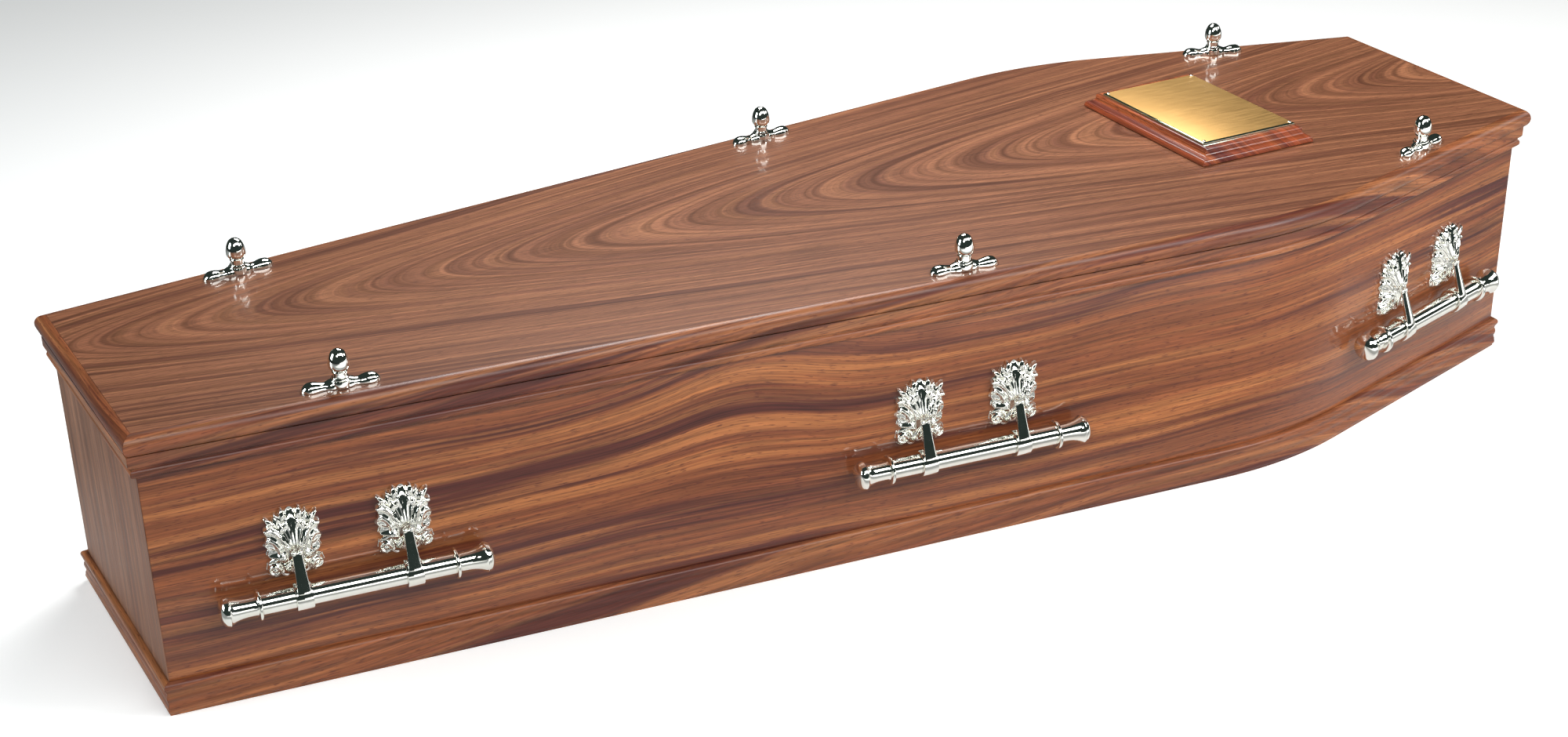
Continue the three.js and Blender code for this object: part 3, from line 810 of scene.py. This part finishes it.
def outline_rays():
    """Rays from the knuckle to the outline as (angle, length), clockwise from the top, with rounded tips."""
    half = [(kind, math.atan2(z, x), math.hypot(x, z)) for kind, x, z in TIPS_AND_NOTCHES]
    rays = []
    for (kind, angle, length), (next_kind, next_angle, next_length) in zip(half, half[1:]):
        for step in range(RAYS_PER_EDGE):
            part = step / RAYS_PER_EDGE
            if kind == next_kind:
                eased = part
            elif kind == "notch":
                eased = math.sin(part * math.pi / 2)
            else:
                eased = 1 - math.cos(part * math.pi / 2)
            rays.append((angle + (next_angle - angle) * part, length + (next_length - length) * eased))
    left = [(math.pi - angle, length) for angle, length in reversed(rays[1:])]
    return rays + [half[-1][1:]] + left


def ridge(offset, width):
    """A round ridge across an offset, 1 on its line and 0 far from it."""
    return math.exp(-(offset / width) ** 2)


def band_place(x, z):
    """How far out from the middle of the side bands a point lies: 1 is the crest of the outer band."""
    across = BAND_REACH[0] if x < BAND_CENTRE[0] else BAND_OUTER_REACH
    return math.hypot((x - BAND_CENTRE[0]) / across, (z - BAND_CENTRE[1]) / BAND_REACH[1])


def fan_half_width(z):
    """Half of the fan's width at one height, where it meets the outer bands."""
    top = BAND_REACH[1] * FAN_MARGIN
    level = (z - BAND_CENTRE[1]) / top
    if level < FAN_OPENS_AT:
        return BAND_CENTRE[0] - BAND_REACH[0] * FAN_MARGIN * math.sqrt(1 - max(0.0, level) ** 2)
    return 22.4 + 1.1 * (z - BAND_CENTRE[1] - FAN_OPENS_AT * top)


def swell_height(reach, upwards):
    """The casting's broad swelling, without any carving."""
    low = LOWER_SWELL[0] + LOWER_SWELL[1] * (1 - reach ** 3)
    high = UPPER_SWELL[0] + UPPER_SWELL[1] * (1 - reach ** 1.4)
    high = KNUCKLE_HEIGHT + (high - KNUCKLE_HEIGHT) * smooth_step(reach, *KNUCKLE_SPAN)
    return low + (high - low) * upwards


def fan_cut(x, z, reach):
    """Hollow flutes with sharp edges, and two rows of curled tips."""
    half_width = fan_half_width(z)
    place = min(x / half_width, 1.0)
    for left, right in zip(FLUTE_EDGES, FLUTE_EDGES[1:]):
        if place <= right:
            break
    across = max(-1.0, min(1.0, 2 * (place - left) / (right - left) - 1))
    round_top = 1 - across ** 2
    width = (right - left) * half_width
    cut = -min(FLUTE_DEEPEST, 0.4 * width) * (1 - math.sqrt(across ** 2 + 0.01))
    outer_tip = smooth_step(reach, *TIP_SPAN_OF_FAN) * round_top
    if left < 0:
        return cut - CENTRE_TIP_DIP * outer_tip
    return cut + TIP_CURL * outer_tip + INNER_CURL * ridge(reach - 0.66, 0.05) * round_top


def band_cut(x, z, reach):
    """Two round bands with a deep groove between, rising to a tip at the rim."""
    turn = (band_place(x, z) - 1) / BAND_STEP
    lift = BAND_LIFT * math.cos(2 * math.pi * max(turn, BAND_GROOVE_END))
    if turn < -0.5:
        lift *= 0.8
    return lift + 1.4 * smooth_step(reach, *TIP_SPAN_OF_BANDS)


def lower_cut(x, z):
    """Smooth lower leaf, the ring and boss of the scroll, and two small lobes at the bottom."""
    cut = 3.6 * ridge(z + 5.0 - 0.25 * (x - 14), 4.6) * smooth_step(x, 7, 14)
    away = math.hypot(x - SCROLL_CENTRE[0], z - SCROLL_CENTRE[1])
    cut += 2.2 * ridge(away - 5.9, 1.8) + 1.8 * ridge(away, 2.2) - 1.4 * ridge(away - 9.2, 1.3)
    for notch_x, notch_z in LOBE_NOTCHES:
        cut -= 1.5 * ridge(x - notch_x * z / notch_z, 1.2) * smooth_step(-z, 10, 18)
    return cut


def leaf_height(x, z, reach):
    """Height in mm above the panel of one point of the casting."""
    x = abs(x)
    away = math.hypot(x, z)
    root = smooth_step(away, *ROOT_SPAN)
    in_fan = smooth_step(band_place(x, z), *FAN_SPAN) if z > BAND_CENTRE[1] else 0.0
    above_leaf = smooth_step(z + 0.35 * x, *LOWER_LEAF_SPAN)
    in_bands = (1 - in_fan) * above_leaf * smooth_step(x, 6, 10)
    lower = (1 - in_fan) * (1 - above_leaf)
    height = swell_height(reach, (1 + z / max(away, 0.01)) / 2)
    height += root * (in_fan * fan_cut(x, z, reach) + in_bands * band_cut(x, z, reach))
    height += lower * lower_cut(x, z) - RIM_DROP * smooth_step(reach, *RIM_SPAN)
    if z < 4:
        height = min(height, CHANNEL_HEIGHT + CHANNEL_WALL * smooth_step(x, *ARM_CHANNEL))
    return max(LOWEST_LEAF, min(height, HIGHEST_LEAF))


def leaf_plate_piece():
    rays = outline_rays()
    piece = new_circle("leaf_plate", len(rays), fill="NOTHING")
    for corner, (angle, length) in zip(piece.data.vertices, rays):
        corner.co = (length * math.cos(angle), 0, length * math.sin(angle))
    open_edit(piece, "EDGE")
    for ring in range(LEAF_RINGS, 1, -1):
        push((0, 0, 0))
        stretch_about((0, 0, 0), [(ring - 1) / ring] * 3)
    bpy.ops.mesh.merge(type="CENTER")
    close_edit()
    for index, vertex in enumerate(piece.data.vertices):
        ring = LEAF_RINGS - index // len(rays)
        x, z = vertex.co.x, vertex.co.z
        height = leaf_height(x, z, max(0.0, ring / LEAF_RINGS))
        vertex.co = Vector((x, -height, z)) * MM + UP * PIVOT_HEIGHT
    open_edit(piece, "EDGE")
    bpy.ops.mesh.select_all(action="DESELECT")
    bpy.ops.mesh.select_non_manifold(extend=False)
    push((0, 0, 0))
    stretch_about((0, -GAP, PIVOT_HEIGHT), (1, 0, 1))
    bpy.ops.mesh.edge_face_add()
    finish_edit(piece, 60)
    return piece


leaf_plate = leaf_plate_piece()
print("leaf plate faces", len(leaf_plate.data.polygons))

# %% [markdown]
# The frame's joints say where each handle swings: each gives a point on the axis and the axis itself. The
# finished handle is turned to face out of its side and copied there. Tube, caps and arms ride on the moving
# handle. The backplates are screwed to the coffin and stay behind.

# %% Hang the six handles
def handle_place(joint):
    """Moves the model handle so that its pivot lies on the joint's axis, facing outwards."""
    along = -Vector(joint["axis"]).normalized()
    spin = Matrix.Rotation(math.atan2(along.y, along.x), 4, "Z")
    pivot = spin @ Vector((0, -PIVOT_OUT, PIVOT_HEIGHT))
    return Matrix.Translation(Vector(joint["pos_m"]) - pivot) @ spin


FLIP_X = Matrix.Scale(-1, 4, (1, 0, 0))
fittings = []


def hang(model, name, matrix, body, node):
    piece = copy_of(model, name, matrix)
    stand_for(piece, node, body)
    fittings.append(piece)


for joint in frame["joints"]:
    body = joint["child"]
    place = handle_place(joint)
    hang(tube, f"{body}_tube", place, body, f"{body}_bar")
    for number, (side, flip) in enumerate(((-1, FLIP_X), (1, Matrix.Identity(4))), start=1):
        hang(cap, f"{body}_cap_{number}", place @ flip, body, f"{body}_bar")
        at_arm = place @ Matrix.Translation((side * ARM_SPACING / 2, 0, 0))
        hang(arm, f"{body}_strap_{number}", at_arm, body, f"{body}_arm_{number}")
        hang(leaf_plate, f"{body}_backplate_{number}", at_arm, "coffin", f"{body}_leaf_plate_{number}")

for model in (tube, cap, arm, leaf_plate):
    bpy.data.objects.remove(model)
print("fittings", len(fittings))

# %% [markdown]
# Mahogany veneer is a slice through the tree's growth rings. Where the knife passes near the heart, the rings
# show as long nested arches, and further out they run as straight bands. One formula gives both: a ring's
# distance from the heart, less a little for the taper of the trunk. Bands, fine lines and short dark pores
# are then noise that is stretched along those rings. It is built once as a node group. Each board gives it
# its own colours, and says which of its axes run along the grain and across it.

# %% Build the veneer group
MARKS = {  # waves per metre along and across the grain, detail and roughness of each kind of mark
    "drift": (1.5, 3.0, 2.0, 0.5),
    "bands": (0.8, 26.0, 4.0, 0.62),
    "lights": (1.2, 60.0, 3.0, 0.6),
    "lines": (1.8, 210.0, 3.0, 0.65),
    "fibres": (14.0, 620.0, 2.0, 0.6),
    "pores": (62.0, 640.0, 1.0, 0.5),
}
BAND_RANGE = (0.44, 0.62)
LIGHT_RANGE = (0.46, 0.64)
PORE_RANGE = (0.60, 0.70)
SHEEN_RANGE = (0.3, 0.7)
LINE_SHADE = (0.28, 0.72, 0.64, 1.34)
FIBRE_SHADE = (0.25, 0.75, 0.72, 1.26)
LIGHT_SHARE = 0.65
PORE_DEPTH = 0.7
FIBRE_DEPTH = 0.3


def new_group(name, inputs, outputs):
    group = bpy.data.node_groups.new(name, "ShaderNodeTree")
    for way, sockets in (("INPUT", inputs), ("OUTPUT", outputs)):
        for label, kind in sockets.items():
            group.interface.new_socket(label, in_out=way, socket_type=f"NodeSocket{kind}")
    return group, group.nodes.new("NodeGroupInput").outputs, group.nodes.new("NodeGroupOutput")


def fill(tree, node, sockets):
    """Fills a node's sockets with links to other sockets or with plain values."""
    for name, source in sockets.items():
        if isinstance(source, bpy.types.NodeSocket):
            tree.links.new(source, node.inputs[name])
        else:
            node.inputs[name].default_value = source


def add_node(tree, kind, sockets=None, **settings):
    node = tree.nodes.new(kind)
    for key, value in settings.items():
        setattr(node, key, value)
    fill(tree, node, sockets or {})
    return node


def maths(tree, operation, first, second=0.0):
    return add_node(tree, "ShaderNodeMath", {0: first, 1: second}, operation=operation).outputs[0]


def times(tree, first, second):
    return maths(tree, "MULTIPLY", first, second)


def square(tree, value):
    return maths(tree, "POWER", value, 2.0)


def ramp(tree, source, low, high, low_value=0.0, high_value=1.0):
    sockets = {"Value": source, "From Min": low, "From Max": high, "To Min": low_value, "To Max": high_value}
    return add_node(tree, "ShaderNodeMapRange", sockets, interpolation_type="SMOOTHSTEP").outputs["Result"]


def blend(tree, factor, first, second, mode="MIX"):
    sockets = {0: factor, 6: first, 7: second}
    return add_node(tree, "ShaderNodeMix", sockets, data_type="RGBA", blend_type=mode).outputs[2]


def bump(tree, height, strength, distance):
    sockets = {"Strength": strength, "Distance": distance, "Height": height}
    return add_node(tree, "ShaderNodeBump", sockets).outputs["Normal"]


def grain_noise(tree, mark, along, across):
    """Noise for one kind of mark, stretched along the grain, from coordinates in metres."""
    along_scale, across_scale, detail, rough = MARKS[mark]
    shares = {"X": times(tree, along, along_scale), "Y": times(tree, across, across_scale)}
    place = add_node(tree, "ShaderNodeCombineXYZ", shares).outputs["Vector"]
    sockets = {"Vector": place, "Scale": 1.0, "Detail": detail, "Roughness": rough}
    return add_node(tree, "ShaderNodeTexNoise", sockets).outputs["Fac"]


def veneer_group():
    numbers = ("Along", "Across", "Arch Depth", "Taper", "Wander", "Fineness", "Figure", "Pores")
    inputs = dict.fromkeys(numbers, "Float") | dict.fromkeys(("Base", "Light", "Dark"), "Color")
    outputs = {"Color": "Color", "Sheen Mask": "Float", "Height": "Float"}
    group, given, result = new_group("Mahogany Veneer", inputs, outputs)
    along, across = given["Along"], given["Across"]
    drift = maths(group, "SUBTRACT", grain_noise(group, "drift", along, across), 0.5)
    bent = maths(group, "ADD", across, times(group, drift, given["Wander"]))
    heart = maths(group, "ADD", square(group, bent), square(group, given["Arch Depth"]))
    ring = maths(group, "SUBTRACT", maths(group, "SQRT", heart), times(group, along, given["Taper"]))
    ring = times(group, ring, given["Fineness"])

    bands = ramp(group, grain_noise(group, "bands", along, ring), *BAND_RANGE)
    lights = ramp(group, grain_noise(group, "lights", along, ring), *LIGHT_RANGE)
    lines = grain_noise(group, "lines", along, ring)
    fibres = grain_noise(group, "fibres", along, bent)
    pores = ramp(group, grain_noise(group, "pores", along, bent), *PORE_RANGE)

    colour = blend(group, times(group, bands, given["Figure"]), given["Base"], given["Dark"])
    colour = blend(group, times(group, lights, LIGHT_SHARE), colour, given["Light"])
    shade = times(group, ramp(group, lines, *LINE_SHADE), ramp(group, fibres, *FIBRE_SHADE))
    greys = {"Red": shade, "Green": shade, "Blue": shade}
    tint = add_node(group, "ShaderNodeCombineColor", greys).outputs["Color"]
    colour = blend(group, 1.0, colour, tint, "MULTIPLY")
    sunk = times(group, times(group, pores, given["Pores"]), PORE_DEPTH)
    hollows = times(group, pores, PORE_DEPTH)
    fill(group, result, {
        "Color": blend(group, sunk, colour, given["Dark"]),
        "Sheen Mask": ramp(group, lines, *SHEEN_RANGE),
        "Height": maths(group, "SUBTRACT", times(group, fibres, FIBRE_DEPTH), hollows),
    })
    return group


veneer = veneer_group()
print("veneer group has", len(veneer.nodes), "nodes")

# %% [markdown]
# Each wooden part turns the grain its own way. The lid, the side panels and the long mouldings run along the
# coffin, the end panels run upright, and the short mouldings run across. The finish is a satin lacquer: a mid
# roughness below, with a clear coat over it. On the lid, the side panels and the plaque the coat is smooth,
# and shows the handles and the pale paper under the coffin as soft reflections. It is duller on the
# mouldings, and faint on the end panels.

# %% Finish the wood
DIAGONAL = math.sqrt(0.5)
GLOSSY_COAT = (0.6, 0.10)
SATIN_COAT = (0.3, 0.28)
FAINT_COAT = (0.15, 0.4)
WOOD_SPECULAR = 0.3
GRAIN_BUMP = (0.12, 0.0004)
SWIRL_CENTRE = -0.27
SWIRL_HALF = 0.13
SWIRL_LIFT = (1.08, 1.26, 0.0, 0.034)


def new_finish(name):
    material = bpy.data.materials.new(name)
    material.use_nodes = True
    tree = material.node_tree
    place = add_node(tree, "ShaderNodeTexCoord").outputs["Object"]
    return material, tree, tree.nodes["Principled BSDF"], place


def split(tree, place):
    return add_node(tree, "ShaderNodeSeparateXYZ", {"Vector": place}).outputs


def board_axis(tree, axes, shares):
    """One grain coordinate, from the share that it takes of each of the object's axes."""
    total = shares.get("start", 0.0)
    for axis in "XYZ":
        if axis in shares:
            total = maths(tree, "ADD", times(tree, axes[axis], shares[axis]), total)
    return total


def wood_finish(name, along, across, colours, arch=(0.05, 0.0, 1.0), wander=0.05, figure=1.0, pores=1.0,
                coat=GLOSSY_COAT, rough=(0.40, 0.52), swirl=None):
    """Lacquered veneer. The arch is the depth, taper and fineness of its rings."""
    material, tree, shader, place = new_finish(name)
    axes = split(tree, place)
    x, y = board_axis(tree, axes, along), board_axis(tree, axes, across)
    if swirl:
        y = swirl(tree, x, y)
    base, light, dark = [(*colour, 1) for colour in colours]
    depth, taper, fineness = arch
    grain = add_node(tree, "ShaderNodeGroup", {
        "Along": x, "Across": y, "Arch Depth": depth, "Taper": taper, "Fineness": fineness, "Wander": wander,
        "Base": base, "Light": light, "Dark": dark, "Figure": figure, "Pores": pores,
    }, node_tree=veneer).outputs
    fill(tree, shader, {
        "Base Color": grain["Color"],
        "Roughness": ramp(tree, grain["Sheen Mask"], 0, 1, *rough),
        "Normal": bump(tree, grain["Height"], *GRAIN_BUMP),
        "Coat Weight": coat[0],
        "Coat Roughness": coat[1],
        "Specular IOR Level": WOOD_SPECULAR,
    })
    return material


def panel_swirl(tree, x, y):
    """Lifts the bands in one smooth hump, as grain does round a small knot."""
    reach = maths(tree, "DIVIDE", maths(tree, "SUBTRACT", x, SWIRL_CENTRE), SWIRL_HALF)
    fall = times(tree, square(tree, maths(tree, "ABSOLUTE", reach)), -1.0)
    lift = times(tree, maths(tree, "EXPONENT", fall), ramp(tree, y, *SWIRL_LIFT))
    return maths(tree, "SUBTRACT", y, lift)


panel_colours = ((0.210, 0.059, 0.017), (0.41, 0.148, 0.043), (0.074, 0.013, 0.008))
lid_colours = ((0.215, 0.080, 0.038), (0.33, 0.135, 0.062), (0.105, 0.032, 0.016))
edge_colours = ((0.23, 0.070, 0.024), (0.38, 0.145, 0.052), (0.085, 0.016, 0.009))
end_colours = ((0.21, 0.090, 0.048), (0.28, 0.130, 0.074), (0.15, 0.058, 0.033))
plaque_colours = ((0.30, 0.060, 0.018), (0.48, 0.130, 0.038), (0.11, 0.013, 0.007))


def slanted(axis, start):
    return {axis: DIAGONAL, "Z": DIAGONAL, "start": start}


lid_across = {"X": 0.03, "Y": 1, "start": -0.04}
side_wood = wood_finish("side veneer", {"X": 1}, {"Z": 1, "start": 1.0}, panel_colours, wander=0.06,
                        swirl=panel_swirl)
end_wood = wood_finish("end veneer", {"Z": 1}, {"Y": 1, "start": 1.0}, end_colours, figure=0.6, pores=0.6,
                       coat=FAINT_COAT, rough=(0.5, 0.6))
lid_wood = wood_finish("lid veneer", {"X": 1}, lid_across, lid_colours, (0.12, 0.15, 2.2), 0.03, 0.8)
long_edge_wood = wood_finish("long edge wood", {"X": 1}, slanted("Y", 2.0), edge_colours, coat=SATIN_COAT)
short_edge_wood = wood_finish("short edge wood", {"Y": 1}, slanted("X", 3.0), edge_colours, coat=SATIN_COAT)
plaque_wood = wood_finish("plaque wood", {"Y": 1}, slanted("X", 1.5), plaque_colours)
print("wood finishes", sorted(m.name for m in bpy.data.materials if "wood" in m.name or "veneer" in m.name))

# %% [markdown]
# The fittings have a pale bright plating, nearly a mirror, so their look is all reflection. A faint waviness,
# as castings have, breaks up the reflections. The name plate is a soft brushed gold with a polished bevel,
# which is a second finish on its edge.

# %% Finish the metal
RIPPLE_DISTANCE = 0.001


def cast_ripple_group():
    inputs = {"Place": "Vector", "Scale": "Float"}
    group, given, result = new_group("Cast Ripple", inputs, {"Wear": "Float", "Height": "Float"})
    sockets = {"Vector": given["Place"], "Scale": given["Scale"], "Detail": 3.0, "Roughness": 0.5}
    noise = add_node(group, "ShaderNodeTexNoise", sockets).outputs["Fac"]
    fill(group, result, {"Wear": ramp(group, noise, 0.3, 0.7), "Height": noise})
    return group


cast_ripple = cast_ripple_group()


def metal_finish(name, pale, deep, rough, ripple_scale, strength, stretch=(1, 1, 1)):
    material, tree, shader, place = new_finish(name)
    mapped = add_node(tree, "ShaderNodeMapping", {"Vector": place, "Scale": stretch}).outputs["Vector"]
    sockets = {"Place": mapped, "Scale": ripple_scale}
    ripple = add_node(tree, "ShaderNodeGroup", sockets, node_tree=cast_ripple).outputs
    fill(tree, shader, {
        "Base Color": blend(tree, ripple["Wear"], (*deep, 1), (*pale, 1)),
        "Roughness": ramp(tree, ripple["Wear"], 0, 1, *rough),
        "Normal": bump(tree, ripple["Height"], strength, RIPPLE_DISTANCE),
        "Metallic": 1.0,
    })
    return material


bright_plating = metal_finish("bright plating", (0.93, 0.93, 0.88), (0.88, 0.88, 0.81), (0.04, 0.08), 70.0,
                              0.03)
satin_gold = metal_finish("satin gold", (0.80, 0.50, 0.19), (0.76, 0.46, 0.165), (0.46, 0.54), 30.0, 0.03,
                          (1, 30, 1))
bevel_gold = metal_finish("polished bevel", (0.62, 0.84, 0.70), (0.54, 0.78, 0.64), (0.06, 0.10), 60.0, 0.02)
print("metal finishes ready")

# %% [markdown]
# Finishes go on last. Most pieces take one. The name plate takes two: faces that look straight up are satin
# gold, and every sloping or upright face is the polished bevel.

# %% Put the finishes on
FLAT_ENOUGH = 0.98


def finish_with(pieces, material):
    for piece in pieces:
        piece.data.materials.clear()
        piece.data.materials.append(material)


near_board, far_board, foot_board, head_board = side_panels
finish_with([near_board, far_board, floor_board], side_wood)
finish_with([foot_board, head_board], end_wood)
finish_with([lid_top_board], lid_wood)
for near, far, foot, head in (base_mouldings, rim_mouldings, lippings):
    finish_with([near, far], long_edge_wood)
    finish_with([foot, head], short_edge_wood)
finish_with([name_plinth], plaque_wood)
finish_with([name_plate], satin_gold)
name_plate.data.materials.append(bevel_gold)
for face in name_plate.data.polygons:
    face.material_index = 0 if face.normal.z > FLAT_ENOUGH else 1
finish_with(holders + fittings + pins, bright_plating)
print("finished pieces", len(dressed) + len(pins))

# %% [markdown]
# Every new piece says which body it moves with and which node it stands for. The pins are small extras that
# stand for no node of their own.

# %% Tie the pieces to the frame
for piece, body, node in dressed.values():
    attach(piece, body)
    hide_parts(node)
for pin in pins:
    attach(pin, "coffin")
print("nodes stood for", len({node for piece, body, node in dressed.values()}), "of", len(frame["nodes"]))

# %% [markdown]
# The floor is a wide pale sheet. It isn't part of the coffin. In the studio a strip of floor round the
# coffin lies in the dark, between the paper under the coffin and the lit paper nearer the lights in front.
# Here that shade is painted into the floor's reflections: it is pale to the eye everywhere, but a mirror
# sees the strip painted dark. The lacquer and the leaves mirror that painted dark strip, which keeps the
# upper part of the panels deep red.
# A little light of its own, which the camera alone sees, keeps the ground white.

# %% Lay the floor
FLOOR_SIZE = 60.0
FLOOR_ROUGHNESS = 0.75
FLOOR_GLOW = 0.3
PALE_GREYS = ((0.86, 0.86, 0.85, 1), (0.90, 0.90, 0.89, 1))
# Painted dark reflection: mirror rays see this colour over the strip, which stands in for the studio's shade.
PAINTED_REFLECTION_COLOUR = (0.01, 0.014, 0.012, 1)
PAINTED_REFLECTION_DARKNESS = 0.7
PAPER_HALF_SIZES = {"X": 1.0, "Y": 0.30}
PAPER_EDGE = (0.06, 0.22)
FAR_PAPER_START = 0.95
FAR_PAPER_FADE = 0.2
FAR_PAPER_LEFT = (-2.0, -1.5)


def floor_finish():
    material, tree, shader, place = new_finish("pale floor")
    cloud = {"Vector": place, "Scale": 1.2, "Detail": 3.0}
    patches = add_node(tree, "ShaderNodeTexNoise", cloud).outputs["Fac"]
    axes = split(tree, place)
    beyond = []
    for axis, half in PAPER_HALF_SIZES.items():
        past = maths(tree, "SUBTRACT", maths(tree, "ABSOLUTE", axes[axis]), half)
        beyond.append(square(tree, maths(tree, "MAXIMUM", past, 0.0)))
    distance = maths(tree, "SQRT", maths(tree, "ADD", *beyond))
    in_front = ramp(tree, axes["Y"], -FAR_PAPER_START, FAR_PAPER_FADE - FAR_PAPER_START, 1.0, 0.0)
    in_front = times(tree, in_front, ramp(tree, axes["X"], *FAR_PAPER_LEFT))
    gap = maths(tree, "SUBTRACT", ramp(tree, distance, *PAPER_EDGE), in_front)
    path = add_node(tree, "ShaderNodeLightPath").outputs
    fill(tree, shader, {
        "Base Color": blend(tree, patches, *PALE_GREYS),
        "Roughness": FLOOR_ROUGHNESS,
        "Emission Color": (1, 1, 1, 1),
        "Emission Strength": times(tree, path["Is Camera Ray"], FLOOR_GLOW),
    })
    # Only mirror rays see the strip painted dark: a painted reflection of shade, not a darker floor.
    painted_reflection_share = times(tree, path["Is Glossy Ray"], times(tree, gap, PAINTED_REFLECTION_DARKNESS))
    dark = add_node(tree, "ShaderNodeBsdfDiffuse", {"Color": PAINTED_REFLECTION_COLOUR})
    faces = {0: painted_reflection_share, 1: shader.outputs["BSDF"], 2: dark.outputs["BSDF"]}
    choice = add_node(tree, "ShaderNodeMixShader", faces)
    fill(tree, tree.nodes["Material Output"], {"Surface": choice.outputs["Shader"]})
    return material


bpy.ops.mesh.primitive_plane_add(size=FLOOR_SIZE, location=(0, 0, -GAP))
studio_floor = bpy.context.object
studio_floor.name = "studio_floor"
studio_floor.data.materials.append(floor_finish())
print("floor", FLOOR_SIZE, "m")
